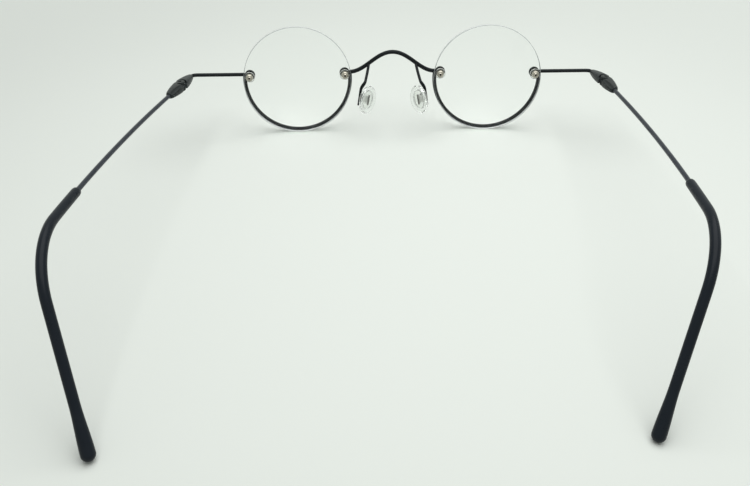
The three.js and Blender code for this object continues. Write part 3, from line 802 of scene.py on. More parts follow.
@dataclass
class LensMount:
    """The bolted stack that holds a lens: eyelet, screw, clear bushing and nut."""

    bore: float = 0.66
    eyelet: float = 1.7
    eyelet_front: float = -1.335
    eyelet_back: float = -0.435
    eyelet_soft: float = 0.3
    head: float = 1.15
    head_front: float = -1.995
    head_back: float = -1.395
    head_dome: Profile = ((0, 0), (0.45, 0.06), (0.75, 0.2), (0.95, 0.5), (1.0, 0.75))
    slot_width: float = 0.32
    slot_share: float = 0.55
    shank: float = 0.6
    shank_end: float = 3.553
    pit: float = 0.36
    pit_taper: float = 0.85
    pit_wall: float = 0.2
    pit_depth: float = 0.3
    sleeve: float = 0.96
    sleeve_front: float = -0.375
    flange: float = 1.7
    flange_front: float = 1.643
    flange_back: float = 2.093
    flange_soft: float = 0.5
    nut: float = 1.2
    nut_front: float = 2.153
    nut_back: float = 3.353
    nut_ease: float = 0.08
    nut_bore_ease: float = 0.1
    groove_station: float = 0.34
    groove: Profile = ((0, -0.12), (0.24, -0.05), (0.24, 0.05), (0, 0.12))
    nut_dome: Profile = ((0, 0.5), (0.08, 0.26), (0.28, 0.07), (0.5, 0))
    ease: float = 0.16

    def build(self, bench: Bench, side: Side, place: Place, lens: Lens) -> None:
        """Shapes the four pieces of one mount.

        Args:
            bench: The shared frame and finishes.
            side: Which lens.
            place: Which end of the lens.
            lens: The lens that is held.
        """
        tag = f"{place.value}_{side.value}"
        hole = Matrix.Translation((place.way * lens.mount_x, 0, lens.mount_rise))
        seat = bench.place(side, lens.seat @ hole)
        parts = (
            (self.eyelet_ring(f"eyelet_ring_{tag}"), WIRE_BLACK, "eyelet"),
            (self.screw(f"mount_screw_{tag}", bench.wardrobe), SCREW_NICKEL, "lens_screw"),
            (self.bushing(f"mount_bushing_{tag}"), BUSHING_CLEAR, "lens_bushing"),
            (self.dome_nut(f"mount_nut_{tag}"), NUT_NICKEL, "lens_nut"),
        )
        for piece, finish, node in parts:
            dressed = finish is SCREW_NICKEL
            bench.seat_piece(piece, seat, finish, "front", f"{node}_{tag}", dressed=dressed)

    def eyelet_ring(self, name: str) -> Object:
        """The rounded ring at the end of a wire.

        Args:
            name: Name of the piece.

        Returns:
            The ring.
        """
        ease = 2 * self.ease
        soft = ease * self.eyelet_soft
        inner, outer = self.bore, self.eyelet
        front, back = self.eyelet_front, self.eyelet_back
        outline = [
            (inner, front + soft), (inner + soft, front), (outer - ease, front),
            (outer - soft, front + soft), (outer, front + ease), (outer, back - ease),
            (outer - soft, back - soft), (outer - ease, back), (inner + soft, back),
            (inner, back - soft), (inner, front + soft),
        ]
        return turned(name, outline)

    def screw(self, name: str, wardrobe: Wardrobe) -> Object:
        """A slotted pan head, a shank that shows past the nut and painted shade in its drilled
        end.

        Args:
            name: Name of the piece.
            wardrobe: The finishes.

        Returns:
            The dressed screw.
        """
        rise = self.head_back - self.head_front
        end = self.shank_end
        outline = [
            *[(self.head * share, self.head_front + rise * up) for share, up in self.head_dome],
            (self.head, self.head_back), (self.shank, self.head_back),
            (self.shank, end - self.ease), (self.shank - self.ease, end), (self.pit, end),
            (self.pit * self.pit_taper, end - self.pit_wall), (0, end - self.pit_depth),
        ]
        piece = turned(name, outline)
        slotted(piece, self.head_front, self.slot_width, rise * self.slot_share, 3 * self.head)
        # Faces of the drilled end wear the near-black painted shade.
        wardrobe.dress(piece, SCREW_NICKEL, PIT_PAINTED_SHADE)
        for face in piece.data.polygons:
            off_axis = Vector((face.center.x, face.center.z)).length
            behind = face.center.y > self.nut_back - self.pit_wall
            face.material_index = int(off_axis < self.pit and behind)
        return piece

    def bushing(self, name: str) -> Object:
        """The clear sleeve through the lens with its flange behind it.

        Args:
            name: Name of the piece.

        Returns:
            The bushing.
        """
        soft = self.ease * self.flange_soft
        outline = [
            (self.bore, self.sleeve_front), (self.sleeve, self.sleeve_front),
            (self.sleeve, self.flange_front), (self.flange - soft, self.flange_front),
            (self.flange, self.flange_front + soft), (self.flange, self.flange_back - soft),
            (self.flange - soft, self.flange_back), (self.bore, self.flange_back),
            (self.bore, self.sleeve_front),
        ]
        return turned(name, outline)

    def dome_nut(self, name: str) -> Object:
        """A round nut with a waist groove and a domed back.

        Args:
            name: Name of the piece.

        Returns:
            The nut.
        """
        groove = self.nut_front + self.groove_station
        outline = [
            (self.bore, self.nut_front), (self.nut - self.nut_ease, self.nut_front),
            (self.nut, self.nut_front + self.nut_ease),
            *[(self.nut - inset, groove + along) for inset, along in self.groove],
            *[(self.nut - inset, self.nut_back - drop) for inset, drop in self.nut_dome],
            (self.bore + self.nut_bore_ease, self.nut_back),
            (self.bore, self.nut_back - self.nut_bore_ease), (self.bore, self.nut_front),
        ]
        return turned(name, outline)


@dataclass
class FrontWires:
    """The bridge, the half rims and the endpieces."""

    rim_wire: float = 1.34
    rim_radius: float = 17.68
    rim_station: float = -0.82
    rim_end: float = 3.766
    rim_braze: float = 1.4
    rim_steps: int = 96
    rim_facets: int = 20
    bridge_wire: float = 1.35
    bridge_rise: float = 6.6
    bridge_lead: float = 1.7
    bridge_shoulder: float = 5.3
    bridge_crown: float = 5.6
    bridge_steps: int = 24
    endpiece_wire: float = 1.2
    eyelet_lap: float = 1.2
    corner_x: float = 67.2
    corner_radius: float = 2.0
    corner_pull: float = 2 / 3
    corner_steps: int = 14
    socket: float = 2.4

    def mount_point(self, lens: Lens, place: Place, size: float, back: float) -> Vector:
        """Centre of a wire of some size where it meets a mount on the left lens."""
        return lens.seat @ Vector((place.way * lens.mount_x, back - size / 2, lens.mount_rise))

    def half_bridge(self, lens: Lens, back: float) -> list[Vector]:
        """The left half of the bridge, from its eyelet to the crest.

        Args:
            lens: The lens.
            back: Back face of the eyelets.

        Returns:
            Points among the upright glasses.
        """
        end = self.mount_point(lens, Place.NASAL, self.bridge_wire, back)
        foot = end - Vector((self.bridge_lead, 0, 0))
        crest = Vector((0, end.y, end.z + self.bridge_rise))
        leave = foot - Vector((self.bridge_shoulder, 0, 0))
        arrive = crest + Vector((self.bridge_crown, 0, 0))
        arch = along_bezier((foot, leave, arrive, crest), self.bridge_steps)
        return [end + Vector((-self.eyelet_lap, 0, 0)), *arch]

    def build_bridge(self, bench: Bench, half: list[Vector]) -> None:
        """Draws the arched bridge.

        Args:
            bench: The shared frame and finishes.
            half: Its left half.
        """
        line = half + [Vector((-p.x, p.y, p.z)) for p in reversed(half[:-1])]
        piece = drawn("bridge_arch", line, [self.bridge_wire / 2] * len(line))
        bench.seat_piece(piece, bench.rest, WIRE_BLACK, "front", "bridge")

    def build_rim(self, bench: Bench, side: Side, lens: Lens) -> None:
        """Spins the half rim round the lower half of a lens.

        Args:
            bench: The shared frame and finishes.
            side: Which lens.
            lens: The lens.
        """
        start = math.radians(self.rim_end + self.rim_braze)
        across, up = self.rim_radius * math.cos(start), self.rim_radius * math.sin(start)
        deselect()
        bpy.ops.mesh.primitive_circle_add(
            vertices=self.rim_facets, radius=self.rim_wire / 2, fill_type="NGON",
            location=(across, self.rim_station, up), rotation=(0, -start, 0),
        )
        piece = bpy.context.object
        piece.name = f"half_rim_{side.value}"
        apply_place()
        sweep = -(math.pi + 2 * start)
        with editing(piece):
            bpy.ops.mesh.spin(
                steps=self.rim_steps, angle=sweep, center=(0, 0, 0), axis=(0, 1, 0)
            )
        close_up(piece, FINE_MERGE)
        smooth(piece, ROUND_EDGE)
        place = bench.place(side, lens.seat)
        bench.seat_piece(piece, place, WIRE_BLACK, "front", f"rim_{side.value}")

    def build_endpiece(
        self, bench: Bench, side: Side, lens: Lens, back: float, hinge: Hinge
    ) -> None:
        """Draws the wire from the temporal eyelet round the corner into the hinge.

        Args:
            bench: The shared frame and finishes.
            side: Which side.
            lens: The lens.
            back: Back face of the eyelets.
            hinge: The hinge that the wire enters.
        """
        start = self.mount_point(lens, Place.TEMPORAL, self.endpiece_wire, back)
        corner = Vector((self.corner_x, start.y, start.z))
        tangent = self.corner_radius * math.tan(math.radians(90 - hinge.splay) / 2)
        bend_in = corner - Vector((tangent, 0, 0))
        bend_out = corner + hinge.axis * tangent
        handles = [end.lerp(corner, self.corner_pull) for end in (bend_in, bend_out)]
        bend = along_bezier((bend_in, *handles, bend_out), self.corner_steps)
        first = start + Vector((self.eyelet_lap, 0, 0))
        line = [first, *bend, bend_out + hinge.axis * self.socket]
        radii = [self.endpiece_wire / 2] * len(line)
        piece = drawn(f"endpiece_wire_{side.value}", line, radii)
        place = bench.place(side, Matrix.Identity(4))
        bench.seat_piece(piece, place, WIRE_BLACK, "front", f"endpiece_{side.value}")


@dataclass
class Hinge:
    """The almond hinge: tongue on the front, fork on the temple, and the pin screw."""

    splay: float = 9.0
    pin: Vector = Vector((68.969, 10.9658, 2.0))
    head: float = 1.0
    head_bottom: float = -1.6
    head_top: float = -1.2
    head_ease: float = 0.12
    slot_width: float = 0.26
    slot_depth: float = 0.2
    shank: float = 0.5
    shank_end: float = 1.25
    shank_ease: float = 0.1
    tongue: float = 0.62
    knuckle: float = 2.2
    voxel: float = 0.085
    passes: int = 9
    facets: int = 64
    screw_facets: int = 32
    notch: float = 1.3
    notch_reach: float = 2.75
    notch_tilt: float = 39.0
    notch_spread: float = 1.9
    notch_facets: int = 4
    shoulder: Profile = (
        (0.66, 9.84), (0.86, 9.66), (1.08, 9.36), (1.28, 8.95), (1.42, 8.5), (3.0, 8.5),
        (3.0, 10.4), (0.66, 10.4), (0.66, 9.84),
    )
    flute: float = 0.8
    flute_roundness: int = 8
    flute_way: Vector = Vector((-0.707, 0, 0.707))
    flute_line: Profile = (
        (1.6, 2.82), (3.0, 2.61), (4.5, 2.33), (6.0, 2.08), (7.5, 1.85), (9.0, 1.666),
        (10.6, 1.45),
    )

    @property
    def axis(self) -> Vector:
        """Direction of the hinge from the corner backwards, on the left side."""
        turn = math.radians(self.splay)
        return Vector((math.sin(turn), math.cos(turn), 0))

    def reliefs(self) -> list[Carver]:
        """Clears the front half round the temple's knuckle, above and below the tongue.

        Returns:
            The cutters with their places at the pin.
        """
        near, far = self.tongue, 4 * self.tongue
        outline = [(0, near), (self.knuckle, near), (self.knuckle, far), (0, far)]
        turns = [Matrix.Rotation(way * math.pi / 2, 4, "X") for way in (-1, 1)]
        return [(turned("knuckle_relief", outline, self.facets), turn) for turn in turns]

    def notches(self) -> list[Carver]:
        """Draws the outer corners of a half in where the two halves meet.

        Returns:
            The cutters with their places at the pin.
        """
        half = 2 * self.head
        outline = [(0, -half), (self.notch, -half), (self.notch, half), (0, half)]
        spread = Matrix.Diagonal((1, self.notch_spread, 1, 1)) @ UPRIGHT
        reach = Matrix.Translation((self.notch_reach, 0, 0)) @ spread
        tilts = [Matrix.Rotation(math.radians(way * self.notch_tilt), 4, "Y") for way in (-1, 1)]
        return [
            (turned("corner_notch", outline, self.notch_facets), tilt @ reach) for tilt in tilts
        ]

    def hollows(self) -> list[Carver]:
        """Rounds the temple half down to its wire and hollows its inner shoulder.

        Returns:
            The cutters with their places at the pin.
        """
        line = [Vector((0, along, 0)) + self.flute_way * out for along, out in self.flute_line]
        ring = turned("wire_shoulder", self.shoulder, self.facets)
        flute = drawn("inner_flute", line, [self.flute] * len(line), self.flute_roundness)
        return [(ring, Matrix.Identity(4)), (flute, Matrix.Identity(4))]

    def build(self, bench: Bench, side: Side, arm: Matrix) -> None:
        """Recasts the two halves and makes the pin screw.

        Args:
            bench: The shared frame and finishes.
            side: Which side.
            arm: Seat of the temple at its hinge pin.
        """
        straight = Matrix.Rotation(math.radians(-self.splay), 4, "Z")
        front = Matrix.Translation(self.pin) @ straight
        tongue_cuts = [(arm, carver) for carver in self.reliefs()]
        tongue_cuts += [(front, carver) for carver in self.notches()]
        fork_cuts = [(arm, carver) for carver in [*self.hollows(), *self.notches()]]
        temple = f"temple_{side.value}"
        # The temple half wears the darker copy of the gunmetal as painted shade.
        halves = (
            ("hinge_front", GUNMETAL, "front", tongue_cuts),
            ("hinge_temple", GUNMETAL_SHADED, temple, fork_cuts),
        )
        for half, finish, body, cuts in halves:
            cutters = [
                set_down(cutter, bench.place(side, seat @ at)) for seat, (cutter, at) in cuts
            ]
            node = f"{half}_{side.value}"
            bench.softened(node, finish, body, self.voxel, self.passes, cutters)
        place = bench.place(side, arm @ UPRIGHT)
        screw = self.pin_screw(f"pin_screw_{side.value}")
        bench.seat_piece(screw, place, DARK_STEEL, temple, f"hinge_screw_{side.value}")

    def pin_screw(self, name: str) -> Object:
        """The slotted screw that the hinge turns on.

        Args:
            name: Name of the piece.

        Returns:
            The screw.
        """
        bottom, end = self.head_bottom, self.shank_end
        outline = [
            (0, bottom), (self.head - self.head_ease, bottom),
            (self.head, bottom + self.head_ease), (self.head, self.head_top),
            (self.shank, self.head_top), (self.shank, end - self.shank_ease),
            (self.shank - self.shank_ease, end), (0, end),
        ]
        piece = turned(name, outline, self.screw_facets)
        slotted(piece, bottom, self.slot_width, self.slot_depth, 3 * self.head)
        return piece


@dataclass
class Temple:
    """A bowed wire with its sleeved tip, measured along the wire from the hinge pin."""

    wire: float = 1.2
    wire_steps: int = 48
    hinge_length: float = 9.8
    run: float = 89.0
    bow: float = 7.0
    bend_radius: float = 20.5
    bend_angle: float = 61.0
    bend_lean: float = 17.5
    drop: float = 33.0
    cover: float = 68.0
    grip: float = 6.0
    socket: float = 2.4
    mouth: float = 1.7
    mouth_length: float = 1.2
    mouth_shares: tuple[float, ...] = (0, 0.04, 0.12, 0.25, 0.42, 0.65)
    sleeve: float = 2.3
    sleeve_steps: int = 90
    sleeve_roundness: int = 8
    bulb: float = 3.1
    bulb_length: float = 10.5
    ball_turns: range = range(10, 90, 10)
    point_radius: float = 0.02
    end_gap: float = 0.001
    turned_in_right: float = 8.7

    @property
    def length(self) -> float:
        """Length of the wire from the pin to the end of the tip."""
        return self.run + self.bend_radius * math.radians(self.bend_angle) + self.drop

    @property
    def ball(self) -> float:
        """Where the ball at the end of the tip has its centre."""
        return self.length - self.bulb / 2

    def seat(self, side: Side, hinge: Hinge) -> Matrix:
        """Seat of the temple at its pin, as it rests, for a left-hand shape.

        Args:
            side: Which side.
            hinge: The hinge.

        Returns:
            The seat in millimetres.
        """
        inward = self.turned_in_right if side is Side.RIGHT else 0.0
        turn = Matrix.Rotation(math.radians(inward - hinge.splay), 4, "Z")
        return Matrix.Translation(hinge.pin) @ turn

    def bow_point(self, s: float) -> Vector:
        """A point on the bowed run.

        Args:
            s: Millimetres from the pin.

        Returns:
            The point at the temple's seat.
        """
        bow_radius = (self.run - self.hinge_length) / math.radians(self.bow)
        turn = max(s - self.hinge_length, 0.0) / bow_radius
        along = min(s, self.hinge_length) + bow_radius * math.sin(turn)
        return Vector((-bow_radius * (1 - math.cos(turn)), along, 0))

    def point(self, s: float) -> Vector:
        """A point on the centre line.

        Args:
            s: Millimetres from the pin.

        Returns:
            The point at the temple's seat.
        """
        if s <= self.run:
            return self.bow_point(s)
        bow, lean = math.radians(self.bow), math.radians(self.bend_lean)
        heading = Vector((-math.sin(bow), math.cos(bow), 0))
        aside = heading.cross(Vector((0, 0, -1)))
        down = aside * math.sin(lean) - Vector((0, 0, math.cos(lean)))
        bend = math.radians(self.bend_angle)
        turn = min((s - self.run) / self.bend_radius, bend)
        fall = max(s - self.run - self.bend_radius * bend, 0.0)
        ahead = self.bend_radius * math.sin(turn) + fall * math.cos(turn)
        below = self.bend_radius * (1 - math.cos(turn)) + fall * math.sin(turn)
        return self.bow_point(self.run) + heading * ahead + down * below

    def sleeve_radius(self, s: float) -> float:
        """Thickness of the sleeve: a rounded mouth, a plain run, a swelling and a ball end.

        Args:
            s: Millimetres from the pin.

        Returns:
            The radius there.
        """
        past = s - self.ball
        if past > 0:
            return math.sqrt(max((self.bulb / 2) ** 2 - past**2, self.point_radius**2))
        opened = min(max((s - self.length + self.cover) / self.mouth_length, 0.0), 1.0)
        plain = self.mouth + (self.sleeve - self.mouth) * math.sqrt(1 - (1 - opened) ** 2)
        t = min(max((past + self.bulb_length) / self.bulb_length, 0.0), 1.0)
        return (plain + (self.bulb - self.sleeve) * t * t * (3 - 2 * t)) / 2

    def build(self, bench: Bench, side: Side, hinge: Hinge) -> None:
        """Draws the wire and its sleeve and sets them down at the hinge.

        Args:
            bench: The shared frame and finishes.
            side: Which side.
            hinge: The hinge that carries the temple.
        """
        tag, body = side.value, f"temple_{side.value}"
        seat = bench.place(side, self.seat(side, hinge))
        start = self.length - self.cover
        line = self.stations(self.hinge_length - self.socket, start + self.grip, self.wire_steps)
        radii = [self.wire / 2] * len(line)
        core = drawn(f"temple_core_{tag}", [self.point(s) for s in line], radii)
        bench.seat_piece(core, seat, TEMPLE_BLUE, body, f"temple_wire_{tag}")
        marks = [
            *[start + self.mouth_length * share for share in self.mouth_shares],
            *self.stations(start + self.mouth_length, self.ball, self.sleeve_steps),
            *[self.ball + self.bulb / 2 * math.sin(math.radians(a)) for a in self.ball_turns],
            self.length - self.end_gap,
        ]
        points, radii = [self.point(s) for s in marks], [self.sleeve_radius(s) for s in marks]
        sleeve = drawn(f"tip_sleeve_{tag}", points, radii, self.sleeve_roundness)
        bench.seat_piece(sleeve, seat, SLEEVE_BLACK, body, f"temple_tip_{tag}")

    @staticmethod
    def stations(start: float, end: float, count: int) -> list[float]:
        """Evenly spread marks along the wire."""
        return [start + (end - start) * i / count for i in range(count + 1)]


@dataclass
class NosePad:
    """A silicone pad on a rocking stud, with the arm that carries it."""

    pivot: Vector = Vector((10.2058, 5.0378, -4.9))
    turn: float = 41.0
    flare: float = 14.0
    width: float = 6.8
    height: float = 9.4
    back: float = 1.5
    thickness: float = 2.2
    facets: int = 64
    dome: Profile = (
        (0.76, 0), (0.84, 0.03), (0.92, 0.12), (0.98, 0.26), (1.0, 0.42), (0.98, 0.58),
        (0.92, 0.72), (0.82, 0.84), (0.66, 0.92), (0.44, 0.97), (0.2, 0.995), (0, 1),
    )
    pocket: float = 0.66
    pocket_play: float = 0.06
    core_width: float = 3.6
    core_height: float = 6.0
    core_thickness: float = 0.6
    core_edge: Profile = ((0, 0), (0.94, 0), (0.98, 0.08), (1.0, 0.2))
    leaf: Vector = Vector((0.6, 0.4, 3.4))
    leaf_station: float = 2.42
    leaf_ease: float = 0.35
    ease_segments: int = 4
    box_voxel: float = 0.05
    stud_voxel: float = 0.04
    passes: int = 4
    arm_wire: float = 0.95
    arm_x: float = 7.95
    arm_sweep: Vector = Vector((1.3, 4.8, -4.8))
    arm_leave: Vector = Vector((0.3, 1.3, -1.9))
    arm_lead: Vector = Vector((0.3, 1.1, -0.85))
    arm_steps: int = 12
    knee_share: float = 0.7
    knee_swell: float = 0.18
    blade_lead: float = 1.2
    blade_lap: float = 0.8
    lap_share: float = 0.7
    blade_station: float = -1.555
    blade_width: float = 1.1
    blade_thickness: float = 0.45
    blade_above: float = 2.4
    blade_below: float = 2.9
    blade_taper: float = 0.6
    blade_ease: float = 0.4
    screw: float = 0.35
    screw_facets: int = 32
    screw_ease: float = 0.06
    screw_head: float = 0.55
    screw_head_ease: float = 0.12
    screw_from: float = -0.82
    screw_seat: float = 0.88
    screw_to: float = 1.18
    slot_width: float = 0.16
    slot_depth: float = 0.14

    @property
    def seat(self) -> Matrix:
        """Place of the left pad's rocking screw among the upright glasses.

        Returns:
            The seat in millimetres.
        """
        turn = Matrix.Rotation(math.radians(self.turn), 4, "Z")
        flare = Matrix.Rotation(math.radians(-self.flare), 4, "Y")
        return Matrix.Translation(self.pivot) @ turn @ flare

    def build(self, bench: Bench, side: Side, bridge: list[Vector]) -> None:
        """Shapes the pad with its core, screw, box, stud and arm.

        Args:
            bench: The shared frame and finishes.
            side: Which side.
            bridge: The left half of the bridge, which the arm is brazed to.
        """
        tag, body = side.value, f"pad_{side.value}"
        seat = bench.place(side, self.seat)
        turned_parts = (
            (self.pad(f"silicone_pad_{tag}"), SILICONE, body, "nose_pad"),
            (self.core(f"pad_insert_{tag}"), BUSHING_CLEAR, body, "pad_core"),
            (self.pin(f"pad_pin_{tag}"), DARK_STEEL, "front", "pad_screw"),
        )
        for piece, finish, carrier, node in turned_parts:
            bench.seat_piece(piece, seat, finish, carrier, f"{node}_{tag}")
        bench.softened(f"pad_box_{tag}", WIRE_BLACK, "front", self.box_voxel, self.passes)
        bench.softened(f"pad_stud_{tag}", STUD_NICKEL, body, self.stud_voxel, self.passes)
        # The moulded leaf, dark as painted shade beside the stud.
        bench.seat_piece(self.moulded_leaf(f"pad_leaf_{tag}"), seat, LEAF_STEEL_SHADE, body)
        self.build_arm(bench, side, bridge)

    def moulded_leaf(self, name: str) -> Object:
        """The thin metal leaf moulded into the silicone over the insert, dark as painted shade.

        Args:
            name: Name of the piece.

        Returns:
            The leaf.
        """
        piece = block(name, self.leaf, (0, self.leaf_station, 0))
        ease = self.leaf.y * self.leaf_ease
        settle_modifier(piece, "BEVEL", width=ease, segments=self.ease_segments)
        smooth(piece, ROUND_EDGE)
        return piece

    @staticmethod
    def oval(piece: Object, width: float, height: float) -> Object:
        """Draws a unit-round piece out to an oval.

        Args:
            piece: The round piece.
            width: Its new width.
            height: Its new height.

        Returns:
            The same piece.
        """
        with editing(piece):
            bpy.ops.transform.resize(
                value=(width / 2, 1, height / 2), center_override=(0, 0, 0)
            )
        return piece

    def pad(self, name: str) -> Object:
        """The silicone oval with its pocket behind and its domed face.

        Args:
            name: Name of the piece.

        Returns:
            The pad.
        """
        floor = self.back + self.core_thickness + self.pocket_play
        outline = [
            (0, floor), (self.pocket, floor), (self.pocket, self.back),
            *[(share, self.back + self.thickness * rise) for share, rise in self.dome],
        ]
        return self.oval(turned(name, outline, self.facets), self.width, self.height)

    def core(self, name: str) -> Object:
        """The clear insert that sits in the pad's pocket.

        Args:
            name: Name of the piece.

        Returns:
            The insert.
        """
        near, far = self.back, self.back + self.core_thickness
        outline = [
            *[(share, near + rise) for share, rise in self.core_edge],
            *[(share, far - rise) for share, rise in reversed(self.core_edge)],
        ]
        return self.oval(turned(name, outline), self.core_width, self.core_height)

    def pin(self, name: str) -> Object:
        """The screw that the stud rocks on, along the pad's width.

        Args:
            name: Name of the piece.

        Returns:
            The screw.
        """
        first, last, head = self.screw_from, self.screw_to, self.screw_head
        outline = [
            (0, first), (self.screw - self.screw_ease, first),
            (self.screw, first + self.screw_ease), (self.screw, self.screw_seat),
            (head, self.screw_seat), (head, last - self.screw_head_ease),
            (head - self.screw_head_ease, last), (0, last),
        ]
        piece = turned(name, outline, self.screw_facets)
        slotted(piece, last, self.slot_width, self.slot_depth, 3 * head)
        with editing(piece):
            bpy.ops.transform.rotate(
                value=math.pi / 2, orient_axis="Z", center_override=(0, 0, 0)
            )
        return piece

    def build_arm(self, bench: Bench, side: Side, bridge: list[Vector]) -> None:
        """Draws the wire from the bridge and joins the flat blade to it.

        Args:
            bench: The shared frame and finishes.
            side: Which side.
            bridge: The left half of the bridge.
        """
        steps, lead = self.arm_steps, self.arm_lead
        root = min(bridge, key=lambda p: abs(p.x - self.arm_x))
        knee = root + self.arm_sweep
        top = self.seat @ Vector((0, self.blade_station, self.blade_above))
        end = self.seat @ Vector((0, self.blade_station, -self.blade_below))
        down = (end - top).normalized()
        sweep = along_bezier((root, root + self.arm_leave, knee - lead, knee), steps)
        handles = (knee + lead * self.knee_share, top - down * self.blade_lead)
        turn_down = along_bezier((knee, *handles, top), steps)
        line = [*sweep, *turn_down[1:], top + down * self.blade_lap]
        swelling = [math.sin(math.pi * i / steps) for i in range(1, steps + 1)]
        shares = [1.0] * len(sweep) + [1.0 + self.knee_swell * rise for rise in swelling]
        radii = [self.arm_wire / 2 * share for share in [*shares, self.lap_share]]
        arm = drawn(f"pad_arm_wire_{side.value}", line, radii)
        blade = self.blade()
        blade.matrix_world = self.seat
        pick(blade)
        apply_place()
        cut(arm, blade, "UNION")
        smooth(arm, ROUND_EDGE)
        place = bench.place(side, Matrix.Identity(4))
        bench.seat_piece(arm, place, WIRE_BLACK, "front", f"pad_arm_{side.value}")

    def blade(self) -> Object:
        """The flat strip at the end of the arm, narrowed to its lower end and eased all round.

        Returns:
            The blade, at the pad's seat.
        """
        middle = (self.blade_above - self.blade_below) / 2
        size = (self.blade_width, self.blade_thickness, self.blade_above + self.blade_below)
        piece = block("arm_blade", size, (0, self.blade_station, middle))
        with editing(piece):
            bpy.ops.mesh.select_all(action="DESELECT")
            bpy.ops.object.mode_set(mode="OBJECT")
            for vertex in piece.data.vertices:
                vertex.select = vertex.co.z < middle
            bpy.ops.object.mode_set(mode="EDIT")
            centre = (0, self.blade_station, 0)
            bpy.ops.transform.resize(value=(self.blade_taper, 1, 1), center_override=centre)
        ease = self.blade_thickness * self.blade_ease
        settle_modifier(piece, "BEVEL", width=ease, segments=self.ease_segments)
        smooth(piece, ROUND_EDGE)
        return piece


# Setting


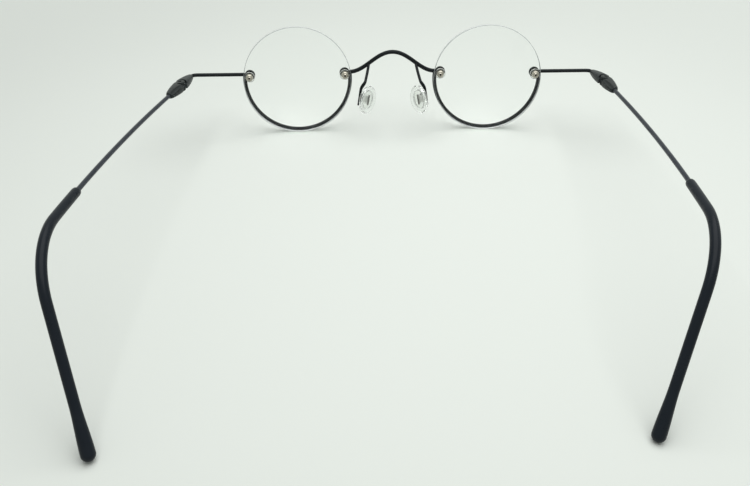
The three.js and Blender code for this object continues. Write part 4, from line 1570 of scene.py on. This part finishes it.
@dataclass
class Studio:
    """The pale table top, the soft light and the camera at the photograph's viewpoint.

    Lengths are in metres, apart from the eye's place in millimetres and the sensor's width.
    """

    table: float = 6.0
    table_colour: Colour = (0.79, 0.835, 0.785)
    table_shade: float = 0.985
    table_drift: float = 3.0
    table_rough: float = 0.7
    table_shine: float = 0.2
    glow: float = 0.5
    glow_from: float = 0.16
    glow_full: float = 0.54
    sky: float = 0.335
    sky_colour: Colour = (0.99, 1.0, 0.99)
    lamp_power: float = 1.3
    lamp_size: float = 0.42
    lamp_place: Vector = Vector((-0.045, -0.03, 0.35))
    eye: Vector = Vector((12.24, 226.15, 125.30))
    forward: Vector = Vector((-0.0220, -0.7865, -0.6172))
    right: Vector = Vector((-0.9996, 0.0279, 0.0))
    focal_px: float = 720.0
    image_width: float = 750.0
    sensor: float = 36.0
    nearest: float = 0.005

    def build(self, bench: Bench) -> None:
        """Lays the table, lights it and sets up the camera.

        Args:
            bench: Gives where the lenses rest.
        """
        bpy.context.scene.view_settings.view_transform = "Standard"
        self.lay_table()
        self.light()
        self.aim(bench.rest.to_translation())

    def lay_table(self) -> None:
        """A broad pale sheet with a faint drift of tone, which glows away from the glasses."""
        deselect()
        bpy.ops.mesh.primitive_plane_add(size=self.table, location=(0, 0, 0))
        floor = bpy.context.object
        floor.name = "table_top"
        material = bpy.data.materials.new("pale_table")
        material.use_nodes = True
        recipe = Recipe(material.node_tree)
        where = recipe.node("ShaderNodeTexCoord").outputs["Object"]
        drift = recipe.node("ShaderNodeTexNoise", Scale=self.table_drift, Detail=2.0)
        ramp = recipe.node("ShaderNodeMix", data_type="RGBA")
        pale = (*self.table_colour, 1.0)
        ramp.inputs[6].default_value = (*[self.table_shade * c for c in self.table_colour], 1.0)
        ramp.inputs[7].default_value = pale
        surface = recipe.node(
            "ShaderNodeBsdfPrincipled", Roughness=self.table_rough,
            Specular_IOR_Level=self.table_shine, Emission_Color=pale,
        )
        away = recipe.node("ShaderNodeVectorMath", operation="LENGTH")
        glow = recipe.node(
            "ShaderNodeMapRange", interpolation_type="SMOOTHSTEP", From_Min=self.glow_from,
            From_Max=self.glow_full, To_Max=self.glow,
        )
        out = recipe.node("ShaderNodeOutputMaterial")
        recipe.join(
            (where, away.inputs[0]),
            (away.outputs["Value"], glow.inputs["Value"]),
            (glow.outputs["Result"], surface.inputs["Emission Strength"]),
            (where, drift.inputs["Vector"]),
            (drift.outputs["Fac"], ramp.inputs[0]),
            (ramp.outputs[2], surface.inputs["Base Color"]),
            (surface.outputs["BSDF"], out.inputs["Surface"]),
        )
        floor.data.materials.append(material)

    def light(self) -> None:
        """An even pale sky, a backdrop where the room is seen or mirrored, and one broad lamp."""
        world = bpy.data.worlds.new("soft_room")
        bpy.context.scene.world = world
        world.use_nodes = True
        recipe = Recipe(world.node_tree)
        path = recipe.node("ShaderNodeLightPath").outputs
        seen = recipe.node("ShaderNodeMath", operation="MAXIMUM")
        mirrored = recipe.node("ShaderNodeMath", operation="MAXIMUM")
        direct = recipe.node("ShaderNodeMath", operation="LESS_THAN")
        direct.inputs[1].default_value = 0.5
        shown = recipe.node("ShaderNodeMath", operation="MULTIPLY")
        sky, backdrop = [
            recipe.node("ShaderNodeBackground", Color=(*colour, 1.0), Strength=strength)
            for colour, strength in ((self.sky_colour, self.sky), (self.table_colour, 1.0))
        ]
        mix = recipe.node("ShaderNodeMixShader")
        out = recipe.node("ShaderNodeOutputWorld")
        recipe.join(
            (path["Is Camera Ray"], seen.inputs[0]),
            (path["Is Transmission Ray"], seen.inputs[1]),
            (seen.outputs[0], mirrored.inputs[0]),
            (path["Is Glossy Ray"], mirrored.inputs[1]),
            (path["Diffuse Depth"], direct.inputs[0]),
            (mirrored.outputs[0], shown.inputs[0]),
            (direct.outputs[0], shown.inputs[1]),
            (shown.outputs[0], mix.inputs["Fac"]),
            (sky.outputs[0], mix.inputs[1]),
            (backdrop.outputs[0], mix.inputs[2]),
            (mix.outputs[0], out.inputs["Surface"]),
        )
        deselect()
        bpy.ops.object.light_add(type="AREA", location=self.lamp_place)
        lamp = bpy.context.object
        lamp.name = "broad_lamp"
        lamp.data.energy = self.lamp_power
        lamp.data.size = self.lamp_size

    def aim(self, lenses: Vector) -> None:
        """Stands the camera where the photograph was taken.

        Args:
            lenses: The point midway between the lens centres.
        """
        deselect()
        bpy.ops.object.camera_add()
        camera = bpy.context.object
        forward = self.forward.normalized()
        right = (self.right - forward * self.right.dot(forward)).normalized()
        up = right.cross(forward)
        turn = Matrix((right, up, -forward)).transposed().to_4x4()
        place = Vector((lenses.x, lenses.y, 0)) + self.eye * MM
        camera.matrix_world = Matrix.Translation(place) @ turn
        camera.data.sensor_width = self.sensor
        camera.data.sensor_fit = "HORIZONTAL"
        camera.data.lens = self.sensor * self.focal_px / self.image_width
        camera.data.clip_start = self.nearest
        bpy.context.scene.camera = camera


def main() -> None:
    """Builds the glasses around the frame."""
    logging.basicConfig(level=logging.INFO, format="%(name)s: %(message)s")
    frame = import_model()
    bench = Bench(frame, Wardrobe())
    lens, mount, wires = Lens(), LensMount(), FrontWires()
    hinge, temple, pad = Hinge(), Temple(), NosePad()
    bridge = wires.half_bridge(lens, mount.eyelet_back)
    wires.build_bridge(bench, bridge)
    for side in Side:
        lens.build(bench, side)
        for place in Place:
            mount.build(bench, side, place, lens)
        wires.build_rim(bench, side, lens)
        wires.build_endpiece(bench, side, lens, mount.eyelet_back, hinge)
        pad.build(bench, side, bridge)
        hinge.build(bench, side, temple.seat(side, hinge))
        temple.build(bench, side, hinge)
    Studio().build(bench)


if __name__ == "__main__":
    main()
